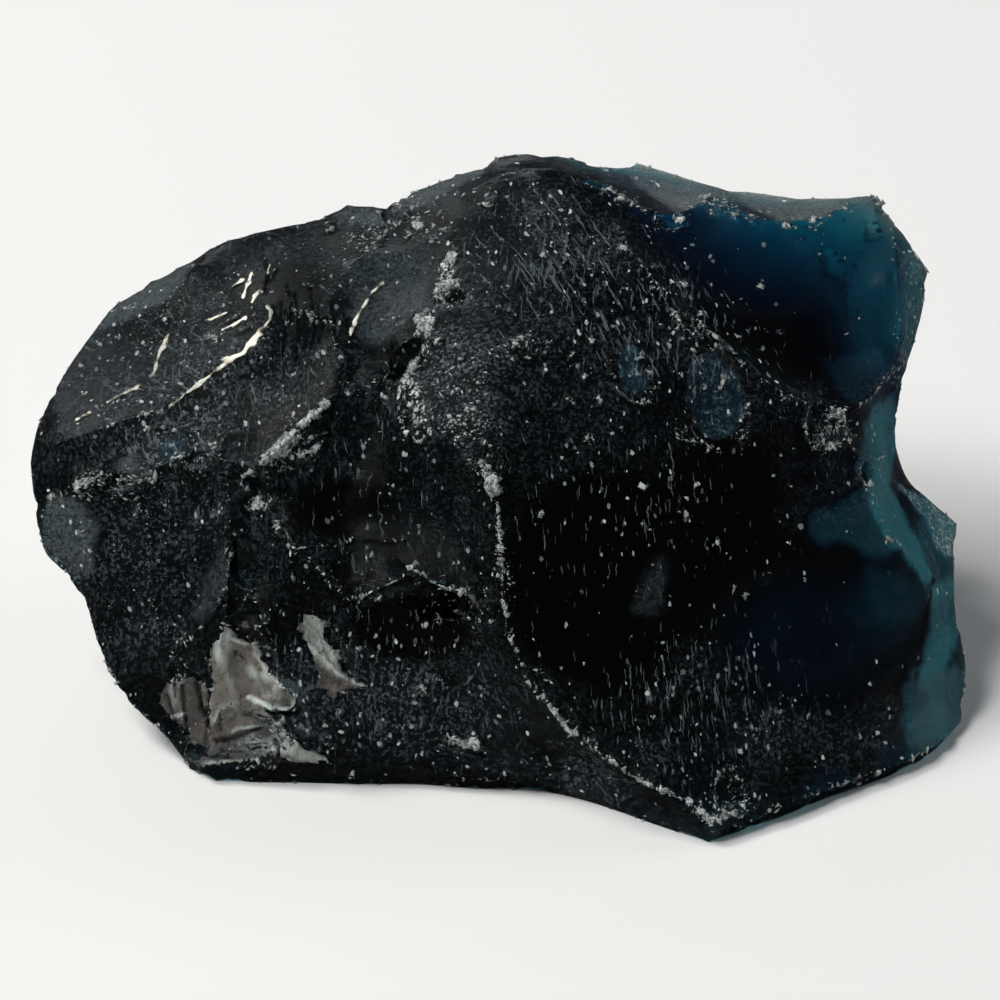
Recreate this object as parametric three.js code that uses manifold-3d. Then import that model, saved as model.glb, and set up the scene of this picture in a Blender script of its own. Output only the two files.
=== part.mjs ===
// Slag glass chunk: one lump of dark blue furnace glass, broken on every side.
//
// The lump is a closed cage of named corners. Rings of corners bound its fracture faces. Each face
// is split into small triangles, eased into a smooth skin and dished in the shell-like way that
// glass breaks, so that neighbouring faces meet in sharp ridges. Chips, pits and hollows are then
// bitten out of it, and a flat seat is cut under it.
//
// Millimetres, +Z up. The lump stands on Z = 0 with its long axis along X and its tallest broken
// front towards -Y. The origin is the middle of its footprint.

import * as THREE from "three";
import { mergeVertices } from "three/addons/utils/BufferGeometryUtils.js";
import { ImprovedNoise } from "three/addons/math/ImprovedNoise.js";
import Module from "manifold-3d";

// ---- Driving dimensions ----------------------------------------------------------------------

const LEAN = THREE.MathUtils.degToRad(30); // the front corners are laid out on a plane leaning back
const SEAT_DROP = 22.4; // height of the leaning plane's middle above the seat
const FOOT_INSET = 3.4; // how far the underside draws in below the foot ridge
const FOOT_DEPTH = 3.2; // depth of the raw underside below the seat, cut away flat
const MESH_STEP = 3.9; // no triangle side is longer than this
const RIDGE_WANDER = 0.09; // sideways wander of a ridge, as a share of its length
const STOUTER_BY = 0.01; // least gain, as a cosine, that makes swapping a side worth while
const FLATTEST = 0.05; // least cosine between a triangle's normal and its face's
const SPLIT_PASSES = 2; // easing passes after each round of splitting
const RELAX_ROUNDS = 4; // rounds of side swaps and easing once all sides are short enough
const RELAX_PASSES = 15; // easing passes in each of those rounds
const RIPPLE_LENGTH = 9; // spacing of the broad shell ripples on the large faces
const RIPPLE_WARP = 0.9; // how far the ripples stray from true circles, in ripples
const BITE_ROUGHNESS = 0.35; // how uneven a bite's ball is, as a share of its radius
const BITE_ROUNDNESS = 0.4; // how deep a bite's ball is beyond its cut, as a share of its width
const BITE_DENTS = 1.6; // dents round a bite's ball
const BITE_SHUFFLE = 3.7; // how far apart the dents of neighbouring bites are read
const BROAD_BITE = 8; // half width times half height of a bite that needs a finer ball
const WELD = 1e-4; // vertices closer than this are one
const FAR = 100; // a distance that is outside the lump from any side

// ---- Corners ---------------------------------------------------------------------------------

// Front corners on the leaning plane: [across, up the plane, out of the plane].
const FRONT = {
  // Outline, from the west end over the crest to the east end.
  west: [-47, 3.8, -1],
  westMid: [-46.2, 8, -3],
  westHigh: [-44.4, 11.4, -5],
  shoulderWest: [-39.6, 19, -10],
  shoulder: [-35.2, 22, -12],
  shoulderTop: [-28.6, 25.7, -9],
  crestWest: [-17.4, 28.4, -9],
  crestLobe: [-15.4, 29.7, -10],
  crestNotch: [-11.3, 29.5, -9],
  crestRise: [-9.8, 30.6, -12],
  crestKnee: [-4.9, 32.7, -13],
  crestBrow: [0.2, 34.7, -13],
  summit: [5.5, 34.8, -13],
  crestEast: [14.6, 34, -16],
  crestDip: [23.2, 31.3, -15],
  crestSaddle: [30.2, 30.4, -15],
  cornerTop: [38, 30.6, -10],
  cornerOut: [39.8, 27.6, -10],
  cornerMid: [42, 25.3, -10],
  cornerEast: [43, 22.8, -10],
  eastHigh: [41.4, 15, -9],
  eastWaist: [39.6, 7, -9],
  eastWaistLow: [40, 2.2, -9],
  shelfBack: [44.2, -0.9, -11],
  shelfEdge: [46, -2.4, -9],
  eastMid: [45.7, -10.5, -8],
  eastBulge: [47, -16.6, -6],

  // Foot ridge along the front, a little above the seat, from east to west.
  footLast: [46.2, -22.2, -3.8],
  footEast: [44.2, -24.2, 0.5],
  footHeel: [41.2, -25.7, 3.1],
  footArch: [37.8, -27.1, 5.5],
  footRight: [34.1, -28.3, 7.6],
  footBow: [28.4, -30.6, 11.6],
  footTip: [21.2, -32.9, 15.6],
  footToe: [15.7, -31.2, 12.6],
  footLeft: [8.8, -29, 8.8],
  footMid: [2.2, -27.8, 6.8],
  footFlat: [-6, -27.4, 6.1],
  footBase: [-17.3, -27, 5.4],
  footWest: [-29.4, -26.8, 5],
  footCorner: [-31.8, -25.5, 2.8],

  // Western flank, back up to the west end.
  flankLow: [-35.2, -21.7, 0.7],
  flankNick: [-37.5, -20.2, 0],
  flankBump: [-39.2, -16.8, -0.5],
  flankMid: [-40.6, -13, -0.5],
  flankHigh: [-42.5, -8.3, -0.5],
  westLow: [-46.2, -4.3, 0],
  westNib: [-46.3, -2, 0.5],

  // Rim: the front edge of the slopes that fall away behind the crest.
  rimNeck: [-5.3, 29.5, -7],
  rimLift: [-1.8, 32, -8],
  rimPeak: [4.5, 33.6, -8.5],
  rimStep: [10.3, 31.6, -8],
  rimSag: [17.6, 28.3, -6.5],
  rimNose: [21.2, 30.7, -11],
  rimBay: [25.7, 28.2, -8],
  rimHollow: [30.5, 27.9, -8],

  // Keel: the ridge that runs from the crest down to the foot tip.
  neck: [-5.3, 23.8, -1.5],
  knot: [-6.6, 18.8, 4.5],
  domeEast: [1.7, 15, 7.5],
  domeLow: [0, 7, 12],
  keelChip: [-1.4, 2.8, 14.5],
  keelMid: [-0.1, -4.5, 15.5],
  keelLow: [0.9, -13.8, 15],
  keelBend: [4.1, -19.5, 15],
  keelFoot: [10.4, -25.2, 14.8],
  keelToe: [16, -28.7, 15.4],

  // Crescent and hollow beside the knot.
  crescent: [-9.8, 10.8, 7],
  crescentLow: [-8, 5.8, 10],
  hollowTop: [-9.5, 16.2, 3.5],
  hollowWest: [-11.4, 12.8, 5.5],

  // Diagonal ridge under the window face, and the window's east side.
  diagonalTop: [14, 23.8, 0],
  diagonalHigh: [18.4, 17.2, 3.6],
  diagonalMid: [23.5, 14.3, 5],
  diagonalLow: [27.5, 10.8, 5.5],
  diagonalEnd: [33.6, 8.4, 2.5],
  cornerIn: [39.8, 23.8, -6],
  bevelEast: [40.3, 16.5, -5.5],
  eastRidge: [39.3, 13.2, -3.5],
  eastRidgeLow: [36.2, 10, 0],

  // East side below the window.
  crushLow: [35, 5.3, 2.5],
  hip: [37, 3, 0.5],
  sideHigh: [37.5, -0.5, 1],
  sideMid: [40, -4.8, -0.5],
  sideKnee: [43.4, -7.7, -3.5],
  sideLow: [43.1, -13.5, -2.5],
  sideFoot: [41.4, -21, 0.5],
  shelfIn: [40.8, 0.6, -7],
  shelfFold: [42.5, -4.1, -5],

  // Upper west: bevels, the curved step and the smooth panel.
  bevelTop: [-30.3, 23.8, -6],
  bevelWest: [-33.5, 19.9, -5.5],
  edgeIn: [-44.5, 5.5, 2],
  stepWest: [-32.7, 9.5, 3.5],
  stepLow: [-28.8, 12.9, 3],
  stepMid: [-25.1, 14.7, 3.2],
  stepHigh: [-23, 16.5, 2.7],
  stepEnd: [-22.9, 19.6, 0.5],
  panelCorner: [-14.5, 24.8, -3.5],
  panelTop: [-9.5, 24.6, -3.5],
  panelWest: [-15.7, 17.5, 2.5],
  notchLow: [-11.7, 26, -6],

  // Ledge across the west half, and the line tucked in under it.
  ledgeEnd: [-13.8, 10.9, 6.5],
  ledgeTop: [-16, 10.9, 6.5],
  ledgeMid: [-20.2, 6.6, 8],
  ledgeLeaf: [-24.2, 3.2, 8.5],
  ledgeEast: [-28.8, 4, 7.5],
  ledgeHalf: [-32.7, 3.2, 6.5],
  ledgeWest: [-36.6, 1.8, 5.5],
  ledgeLast: [-40.2, 1.6, 4],
  ledgeTail: [-43.6, 0.8, 2],
  tuckLeaf: [-23.8, 1.6, 6],
  tuckEast: [-28.6, 2.6, 5],
  tuckHalf: [-32.4, 1.9, 4.2],
  tuckWest: [-36.4, 0.6, 3.5],
  tuckLast: [-40, 0.3, 2.2],

  // Lower west: brow, seam, curtain, scoop and the flaked corner.
  browEast: [-3.7, -9.2, 13],
  browPeak: [-8.8, -7, 12],
  browWest: [-14.6, -10.3, 10.5],
  seamWest: [-20.5, -4.8, 9],
  curtainTop: [-27.3, 0.5, 6.5],
  curtainMid: [-27.1, -6, 8],
  scoopTop: [-35, -2, 4.2],
  scoopWest: [-35, -10, 4],
  scoopLow: [-32.2, -14.2, 4.5],
  flatEast: [-41, -5.5, 2.2],
  flakeHead: [-27.4, -12.2, 7.5],
  flakeTop: [-24.4, -15, 8.5],
  flakeEast: [-20.1, -20.3, 9.5],
};

// Back corners, upright: [x, y, z].
const BACK = {
  backWest: [-46.5, 11, 21],
  backShoulder: [-41, 22, 23],
  backLeft: [-25, 33, 15],
  backPeakWest: [-13, 31.5, 34],
  backMiddle: [4, 35.5, 25],
  backPeakEast: [13, 34.5, 35.5],
  backRight: [23, 33, 12],
  backWindow: [35, 26.5, 26],
  backEast: [41, 17, 13],
  heelWest: [-41, 9, 2],
  heelShoulder: [-35, 20, 2],
  heelLeft: [-21, 28.5, 1.8],
  heelMiddle: [-2, 31, 2],
  heelRight: [17, 28.5, 1.7],
  heelWindow: [35, 18, 2],
  heelEast: [43.5, 5, 1.8],
};

// ---- Fracture faces --------------------------------------------------------------------------

// Each ring runs clockwise as seen from outside. dish is how deep the face sags in the middle, as a
// share of its half width, and a minus sign swells it. Ripples spread from the strike corner.
const FACES = [
  // Slopes behind the rim.
  { ring: "crestRise crestKnee crestBrow summit rimPeak rimLift rimNeck", dish: 0.05 },
  { ring: "summit crestEast crestDip rimNose rimSag rimStep rimPeak", dish: 0.1 },
  { ring: "crestDip crestSaddle cornerTop rimHollow rimBay rimNose", dish: 0.1 },

  // Window face, bevels and east side.
  {
    ring:
      "rimStep rimSag rimNose rimBay rimHollow cornerTop cornerOut cornerIn bevelEast eastRidge " +
      "eastRidgeLow diagonalEnd diagonalLow diagonalMid diagonalHigh diagonalTop",
    dish: 0.13,
    strike: "cornerTop",
    ripple: 0.12,
  },
  { ring: "cornerOut cornerMid cornerEast eastHigh eastRidge bevelEast cornerIn", dish: 0.12 },
  {
    ring: "eastRidge eastHigh eastWaist eastWaistLow hip crushLow diagonalEnd eastRidgeLow",
    dish: 0.22,
  },
  { ring: "hip eastWaistLow shelfIn shelfFold sideKnee sideMid sideHigh", dish: 0.12 },
  {
    ring: "eastWaistLow shelfBack shelfEdge eastMid sideKnee shelfFold shelfIn",
    dish: 0.1,
  },
  { ring: "sideKnee eastMid eastBulge sideFoot sideLow", dish: 0.1 },
  { ring: "sideFoot eastBulge footLast footEast footHeel", dish: 0.05 },

  // Main face east of the keel, and the bruised dome on its upper corner.
  {
    ring:
      "rimNeck rimLift rimPeak rimStep diagonalTop diagonalHigh diagonalMid diagonalLow " +
      "diagonalEnd crushLow hip sideHigh sideMid sideKnee sideLow sideFoot footHeel footArch " +
      "footRight footBow footTip keelToe keelFoot keelBend keelLow keelMid keelChip domeLow " +
      "domeEast knot neck",
    dish: -0.1,
    strike: "rimNeck",
    ripple: 0.12,
  },
  { ring: "knot domeEast domeLow keelChip crescentLow crescent", dish: -0.22 },
  { ring: "hollowTop knot crescent hollowWest", dish: 0.3 },

  // Upper west.
  {
    ring:
      "panelCorner panelTop neck knot hollowTop hollowWest ledgeEnd ledgeTop panelWest",
    dish: 0.2,
    strike: "neck",
    ripple: 0.1,
  },
  { ring: "crestNotch crestRise rimNeck neck panelTop notchLow", dish: 0.1 },
  { ring: "crestWest crestLobe crestNotch notchLow panelTop panelCorner", dish: 0.08 },
  { ring: "shoulderWest shoulder shoulderTop bevelTop bevelWest", dish: 0.06 },
  { ring: "westNib west westMid westHigh edgeIn ledgeTail", dish: 0.05 },
  {
    ring:
      "edgeIn westHigh shoulderWest bevelWest bevelTop shoulderTop crestWest panelCorner " +
      "panelWest stepEnd stepHigh stepMid stepLow stepWest",
    dish: 0.06,
    strike: "shoulderTop",
    ripple: 0.12,
  },
  {
    ring:
      "ledgeTail edgeIn stepWest stepLow stepMid stepHigh stepEnd panelWest ledgeTop ledgeMid " +
      "ledgeLeaf ledgeEast ledgeHalf ledgeWest ledgeLast",
    dish: 0.16,
    strike: "panelWest",
    ripple: 0.12,
  },
  {
    ring:
      "ledgeTail ledgeLast ledgeWest ledgeHalf ledgeEast ledgeLeaf tuckLeaf tuckEast tuckHalf " +
      "tuckWest tuckLast",
    dish: 0.1,
  },

  // Lower west.
  {
    ring:
      "ledgeLeaf ledgeMid ledgeTop ledgeEnd hollowWest crescent crescentLow keelChip keelMid " +
      "keelLow browEast browPeak browWest seamWest tuckLeaf",
    dish: 0.24,
    strike: "crescent",
    ripple: 0.1,
  },
  {
    ring:
      "seamWest browWest browPeak browEast keelLow keelBend keelFoot keelToe footTip footToe " +
      "footLeft footMid footFlat footBase flakeEast flakeTop",
    dish: 0.12,
    strike: "browPeak",
    ripple: 0.12,
  },
  { ring: "westNib ledgeTail flatEast flankMid flankHigh westLow", dish: 0.06 },
  {
    ring:
      "ledgeTail tuckLast tuckWest scoopTop scoopWest scoopLow flankBump flankMid flatEast",
    dish: 0.1,
  },
  {
    ring:
      "tuckWest tuckHalf tuckEast tuckLeaf curtainTop curtainMid flakeHead scoopLow scoopWest " +
      "scoopTop",
    dish: 0.34,
    strike: "tuckEast",
    ripple: 0.12,
  },
  { ring: "curtainTop tuckLeaf seamWest flakeTop flakeHead curtainMid", dish: 0.42 },
  {
    ring:
      "scoopLow flakeHead flakeTop flakeEast footBase footWest footCorner flankLow flankNick " +
      "flankBump",
    dish: 0.08,
  },

  // West end.
  { ring: "westHigh westMid west backWest", dish: 0.06 },
  { ring: "west westNib westLow flankHigh flankMid heelWest backWest", dish: 0.14 },
  { ring: "flankMid flankBump flankNick flankLow footCorner heelWest", dish: 0.1 },
  { ring: "shoulderWest westHigh backWest backShoulder shoulder", dish: 0.14 },
  { ring: "backWest heelWest heelShoulder backShoulder", dish: 0.12 },

  // Back.
  {
    ring: "shoulderTop shoulder backShoulder backLeft backPeakWest crestWest",
    dish: 0.16,
    strike: "shoulder",
    ripple: 0.12,
  },
  { ring: "backShoulder heelShoulder heelLeft backLeft", dish: 0.12 },
  {
    ring:
      "summit crestBrow crestKnee crestRise crestNotch crestLobe crestWest backPeakWest " +
      "backPeakEast",
    dish: 0.14,
  },
  {
    ring: "backPeakWest backLeft backMiddle backPeakEast",
    dish: 0.12,
    strike: "backPeakWest",
    ripple: 0.12,
  },
  {
    ring: "backLeft heelLeft heelMiddle heelRight backRight backMiddle",
    dish: 0.22,
    strike: "backMiddle",
    ripple: 0.15,
  },
  { ring: "crestDip crestEast summit backPeakEast", dish: 0.1 },
  { ring: "crestSaddle crestDip backPeakEast backRight backWindow", dish: 0.16 },
  { ring: "backPeakEast backMiddle backRight", dish: 0.08 },
  { ring: "cornerTop crestSaddle backWindow", dish: 0.06 },
  { ring: "cornerEast cornerMid cornerOut cornerTop backWindow", dish: 0.08 },
  { ring: "eastWaist eastHigh cornerEast backWindow backEast", dish: 0.16 },
  {
    ring: "backWindow backRight heelRight heelWindow backEast",
    dish: 0.16,
    strike: "backWindow",
    ripple: 0.12,
  },
  { ring: "shelfBack eastWaistLow eastWaist backEast", dish: 0.1 },
  { ring: "eastMid shelfEdge shelfBack backEast heelWindow heelEast", dish: 0.14 },
  { ring: "footLast eastBulge eastMid heelEast", dish: 0.08 },
];

// The foot ridge all round, in the order in which the faces above meet it.
const FOOT = (
  "footTip footToe footLeft footMid footFlat footBase footWest footCorner heelWest " +
  "heelShoulder heelLeft heelMiddle heelRight heelWindow heelEast footLast footEast footHeel " +
  "footArch footRight footBow"
).split(" ");

// ---- Bites and chips -------------------------------------------------------------------------

// Bites out of the front, measured on the leaning plane:
// [across, up, half width, half height, depth, turn in degrees].
const BITES = [
  [-9.2, 13.8, 2.0, 2.8, 2.6, -30], // black hollow under the knot
  [-7, -10.3, 3.8, 1.7, 1.6, -4], // hollow under the brow
  [-25.1, -6, 2.0, 2.8, 1.8, 10], // dark hollow beside the curtain
  [22.9, -28.9, 1.8, 2.2, 1.4, 0], // round pit near the foot tip
  [21.7, 10.6, 3.1, 4.5, 0.55, 20], // wide bruise on the main face
  [13.3, 12.9, 1.8, 2.7, 0.45, 10], // small bruise on the main face
  [-20, 4.6, 3.2, 1.2, 0.8, 38], // leaf chip on the ledge
  [-11.1, 28.9, 1.0, 2.2, 1.2, 20], // notch in the crest
  [33.1, 7.6, 2.8, 2.4, 0.9, 20], // crushed end of the diagonal ridge
  [37.2, 2.9, 1.8, 1.3, 0.8, 0], // chip on the hip
  [17.8, 28.4, 2.2, 1.1, 0.9, 10], // chip in the rim's sag
  [-5.2, 21, 1.7, 2.4, 0.9, 0], // crushed neck of the keel
  [-30.4, 4.7, 1.8, 1.2, 0.9, 0], // round step on the ledge
  [-38.6, 3.2, 1.4, 2.0, 0.8, 0], // flat chip on the ledge
  [-17.4, -14.6, 1.2, 3.4, 0.9, 32], // slit beside the flaked corner
  [-4.6, -24.6, 3.0, 0.9, 0.7, -18], // long chip above the foot
  [-26, -17.5, 3.2, 4.8, 0.9, 25], // scars of the flaked corner
  [-22.4, -21.6, 3.6, 2.8, 0.8, -35],
  [-27.2, -23.2, 4.4, 2.0, 0.8, -6],
  [-31.4, -20.6, 2.0, 4.0, 0.8, 12],
  [-18.6, -25.2, 3.2, 1.3, 0.7, -28],
];

// Chips out of the ridges between two corners:
// [corner, corner, share of the way between them, half length, half width, depth].
const CHIPS = [
  // Keel and rim.
  ["keelChip", "domeLow", 0.2, 2.2, 1.5, 0.8],
  ["keelMid", "keelLow", 0.4, 2.6, 0.9, 0.5],
  ["keelBend", "keelLow", 0.2, 2.2, 1.3, 0.7],
  ["keelBend", "keelFoot", 0.5, 2.6, 1.1, 0.6],
  ["keelFoot", "keelToe", 0.5, 2.2, 1.0, 0.6],
  ["rimStep", "rimPeak", 0.1, 1.8, 0.8, 0.6],
  ["rimBay", "rimHollow", 0.9, 2.0, 0.8, 0.6],
  ["diagonalHigh", "diagonalMid", 0.4, 2.4, 0.9, 0.5],
  // Crest, as seen from behind.
  ["crestWest", "backPeakWest", 0.45, 3.2, 2.2, 1.2],
  ["crestKnee", "crestBrow", 0.5, 2.4, 1.2, 0.7],
  ["crestEast", "summit", 0.4, 2.8, 1.4, 0.8],
  ["crestSaddle", "backWindow", 0.6, 3.0, 1.8, 1.0],
  ["cornerTop", "backWindow", 0.3, 2.0, 1.2, 0.8],
  ["shoulder", "backShoulder", 0.5, 3.4, 2.0, 1.1],
  // Back ridges.
  ["backPeakWest", "backLeft", 0.35, 4.0, 2.6, 1.4],
  ["backPeakWest", "backPeakEast", 0.6, 4.2, 2.0, 1.1],
  ["backPeakEast", "backMiddle", 0.5, 3.0, 2.2, 1.2],
  ["backMiddle", "backLeft", 0.3, 4.5, 2.6, 1.3],
  ["backMiddle", "backRight", 0.6, 3.6, 2.2, 1.2],
  ["backRight", "heelRight", 0.4, 3.0, 2.4, 1.2],
  ["backLeft", "heelLeft", 0.5, 3.4, 2.2, 1.2],
  ["backShoulder", "heelShoulder", 0.4, 4.0, 2.4, 1.3],
  ["backShoulder", "backLeft", 0.6, 3.0, 2.0, 1.0],
  ["backWindow", "backRight", 0.4, 3.6, 2.4, 1.3],
  // Ends.
  ["backWindow", "backEast", 0.6, 3.4, 2.0, 1.1],
  ["backEast", "shelfBack", 0.4, 2.6, 1.8, 0.9],
  ["backEast", "heelWindow", 0.6, 2.8, 2.0, 1.0],
  ["eastMid", "heelEast", 0.5, 2.2, 1.6, 0.8],
  ["backWest", "backShoulder", 0.4, 3.4, 2.2, 1.2],
  ["backWest", "heelWest", 0.5, 3.6, 2.0, 1.1],
  ["flankMid", "heelWest", 0.5, 3.0, 1.8, 0.9],
];

// ---- Places ----------------------------------------------------------------------------------

const noise = new ImprovedNoise();

// A side of the lump to measure from: its middle, and the ways across it, up it and out of it.
function side(middle, across, up) {
  return { middle, across, up, out: new THREE.Vector3().crossVectors(across, up) };
}

const FRONT_SIDE = side(
  new THREE.Vector3(0, 0, SEAT_DROP),
  new THREE.Vector3(1, 0, 0),
  new THREE.Vector3(0, Math.sin(LEAN), Math.cos(LEAN)),
);

// The place of a point measured on one side of the lump.
function placeOn({ middle, across, up, out }, [a, b, c]) {
  return middle
    .clone()
    .addScaledVector(across, a)
    .addScaledVector(up, b)
    .addScaledVector(out, c);
}

// A smooth, repeatable jitter with each part between -1 and 1.
function jitter(place, spacing) {
  const p = place.clone().divideScalar(spacing);
  return new THREE.Vector3(
    noise.noise(p.x + 7.1, p.y, p.z),
    noise.noise(p.x, p.y + 13.3, p.z),
    noise.noise(p.x, p.y, p.z + 5.7),
  );
}

// ---- Cage ------------------------------------------------------------------------------------

// Newell's normal of a ring of places, of unit length.
function ringNormal(places) {
  const normal = new THREE.Vector3();
  places.forEach((a, i) => {
    const b = places[(i + 1) % places.length];
    normal.x += (a.y - b.y) * (a.z + b.z);
    normal.y += (a.z - b.z) * (a.x + b.x);
    normal.z += (a.x - b.x) * (a.y + b.y);
  });
  return normal.normalize();
}

// Triangles of one ring, as index triples into the skin's vertices.
function fillRing(ring, places, normal) {
  const side = new THREE.Vector3().subVectors(places[1], places[0]);
  const axisU = side.addScaledVector(normal, -side.dot(normal)).normalize();
  const axisV = new THREE.Vector3().crossVectors(normal, axisU);
  const flat = places.map((p) => new THREE.Vector2(p.dot(axisU), p.dot(axisV)));
  return THREE.ShapeUtils.triangulateShape(flat, []).map((t) => t.map((i) => ring[i]));
}

// The whole cage: vertices, triangles with the number of their face, and the faces' normals.
function buildCage() {
  const vertices = [];
  const index = {};
  const addCorner = (name, place) => {
    index[name] = vertices.push(place) - 1;
  };
  for (const [name, measured] of Object.entries(FRONT)) {
    addCorner(name, placeOn(FRONT_SIDE, measured));
  }
  for (const [name, place] of Object.entries(BACK)) {
    addCorner(name, new THREE.Vector3(...place));
  }
  const middle = FOOT.reduce((sum, n) => sum.add(vertices[index[n]]), new THREE.Vector3());
  middle.divideScalar(FOOT.length);
  for (const name of FOOT) {
    const foot = vertices[index[name]];
    const inward = new THREE.Vector3().subVectors(middle, foot).setZ(0).setLength(FOOT_INSET);
    addCorner(name + "Under", foot.clone().add(inward).setZ(-FOOT_DEPTH));
  }

  const faces = FACES.map((face) => ({ ...face, names: face.ring.split(" ") }));
  FOOT.forEach((name, i) => {
    const next = FOOT[(i + 1) % FOOT.length];
    faces.push({ names: [next, name, name + "Under", next + "Under"], dish: 0 });
  });
  faces.push({ names: FOOT.map((name) => name + "Under").reverse(), dish: 0 });

  const triangles = [];
  faces.forEach((face, number) => {
    const ring = face.names.map((name) => index[name]).reverse();
    const places = ring.map((i) => vertices[i]);
    face.normal = ringNormal(places);
    face.strikePlace = face.strike ? vertices[index[face.strike]].clone() : null;
    for (const corners of fillRing(ring, places, face.normal)) {
      triangles.push({ corners, face: number });
    }
  });
  const corners = Object.fromEntries(
    Object.entries(index).map(([name, i]) => [name, vertices[i].clone()]),
  );
  return { vertices, triangles, faces, corners };
}

// ---- Skin ------------------------------------------------------------------------------------

const edgeKey = (a, b) => (a < b ? a + "_" + b : b + "_" + a);

// Every edge, with its two ends and the triangles on either side of it.
function edgesOf(triangles) {
  const edges = new Map();
  triangles.forEach((triangle, t) => {
    for (let i = 0; i < 3; i++) {
      const a = triangle.corners[i];
      const b = triangle.corners[(i + 1) % 3];
      const key = edgeKey(a, b);
      if (!edges.has(key)) edges.set(key, { a, b, sides: [] });
      edges.get(key).sides.push(t);
    }
  });
  return edges;
}

const isRidge = (edge, triangles) =>
  triangles[edge.sides[0]].face !== triangles[edge.sides[1]].face;

// The triangles that stand for one triangle once some of its sides have a middle vertex.
function splitTriangle([a, b, c], [ab, bc, ca], vertices) {
  const gap = (p, q) => vertices[p].distanceTo(vertices[q]);
  const count = [ab, bc, ca].filter((m) => m !== undefined).length;
  if (count === 0) return [[a, b, c]];
  if (count === 3) return [[a, ab, ca], [ab, b, bc], [ca, bc, c], [ab, bc, ca]];
  if (ab === undefined && !(count === 1 && bc === undefined)) {
    return splitTriangle([b, c, a], [bc, ca, ab], vertices);
  }
  if (count === 1 && ab === undefined) return splitTriangle([c, a, b], [ca, ab, bc], vertices);
  if (count === 1) return [[a, ab, c], [ab, b, c]];
  if (bc === undefined) return splitTriangle([c, a, b], [ca, ab, bc], vertices);
  // Sides ab and bc are split: cut off corner b, then the shorter diagonal of the rest.
  const rest = gap(a, bc) < gap(ab, c) ? [[a, ab, bc], [a, bc, c]] : [[a, ab, c], [ab, bc, c]];
  return [[ab, b, bc], ...rest];
}

// One pass that halves every side longer than the mesh step. Ridges wander as they are split.
function splitLongSides(skin) {
  const { vertices, triangles } = skin;
  const middles = new Map();
  for (const [key, edge] of edgesOf(triangles)) {
    const a = vertices[edge.a];
    const b = vertices[edge.b];
    const length = a.distanceTo(b);
    if (length <= MESH_STEP) continue;
    const middle = a.clone().lerp(b, 0.5);
    const ridge = isRidge(edge, triangles);
    if (ridge) middle.addScaledVector(jitter(middle, length), RIDGE_WANDER * length);
    if (ridge) skin.ridge.add(vertices.length);
    middles.set(key, vertices.push(middle) - 1);
  }
  skin.triangles = triangles.flatMap(({ corners, face }) => {
    const [a, b, c] = corners;
    const split = [edgeKey(a, b), edgeKey(b, c), edgeKey(c, a)].map((key) => middles.get(key));
    return splitTriangle(corners, split, vertices).map((t) => ({ corners: t, face }));
  });
  return middles.size > 0;
}

// The smallest angle's cosine in a triangle: the larger it is, the thinner the triangle.
function thinness(p, q, r) {
  const cosine = (o, s, t) => {
    const u = new THREE.Vector3().subVectors(s, o).normalize();
    return u.dot(new THREE.Vector3().subVectors(t, o).normalize());
  };
  return Math.max(cosine(p, q, r), cosine(q, r, p), cosine(r, p, q));
}

// One pass that swaps the shared side of two triangles of a face where that makes them stouter.
function swapSides(skin) {
  const { vertices, triangles } = skin;
  const edges = edgesOf(triangles);
  const taken = new Set();
  for (const edge of edges.values()) {
    const [s, t] = edge.sides;
    if (isRidge(edge, triangles) || taken.has(s) || taken.has(t)) continue;
    const far = (side) => triangles[side].corners.find((v) => v !== edge.a && v !== edge.b);
    const c = far(s);
    const d = far(t);
    if (edges.has(edgeKey(c, d))) continue;
    const [pa, pb, pc, pd] = [edge.a, edge.b, c, d].map((v) => vertices[v]);
    const now = Math.max(thinness(pa, pb, pc), thinness(pa, pb, pd));
    const then = Math.max(thinness(pc, pd, pa), thinness(pc, pd, pb));
    if (then > now - STOUTER_BY) continue;
    const ring = triangles[s].corners;
    const forward = ring[(ring.indexOf(edge.a) + 1) % 3] === edge.b;
    const [a, b] = forward ? [edge.a, edge.b] : [edge.b, edge.a];
    const first = [a, d, c];
    const second = [b, c, d];
    const normal = skin.faces[triangles[s].face].normal;
    if ([first, second].some((tri) => turnsOver(tri, vertices, normal))) continue;
    triangles[s].corners = first;
    triangles[t].corners = second;
    taken.add(s).add(t);
    [edgeKey(a, c), edgeKey(a, d), edgeKey(b, c), edgeKey(b, d)].forEach((key) => {
      edges.get(key).sides.forEach((side) => taken.add(side));
    });
  }
}

// Whether a triangle faces away from its face's normal, or is as good as flat on its side.
function turnsOver([a, b, c], vertices, normal) {
  const u = new THREE.Vector3().subVectors(vertices[b], vertices[a]);
  const v = new THREE.Vector3().subVectors(vertices[c], vertices[a]);
  return u.cross(v).normalize().dot(normal) < FLATTEST;
}

// For each vertex inside a face, the number of that face; ridge vertices are left out.
function innerVertices(skin) {
  const inner = new Map();
  const ridge = new Set(skin.ridge);
  for (const { corners, face } of skin.triangles) {
    for (const v of corners) {
      if (inner.has(v) && inner.get(v) !== face) ridge.add(v);
      inner.set(v, face);
    }
  }
  ridge.forEach((v) => inner.delete(v));
  return inner;
}

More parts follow.
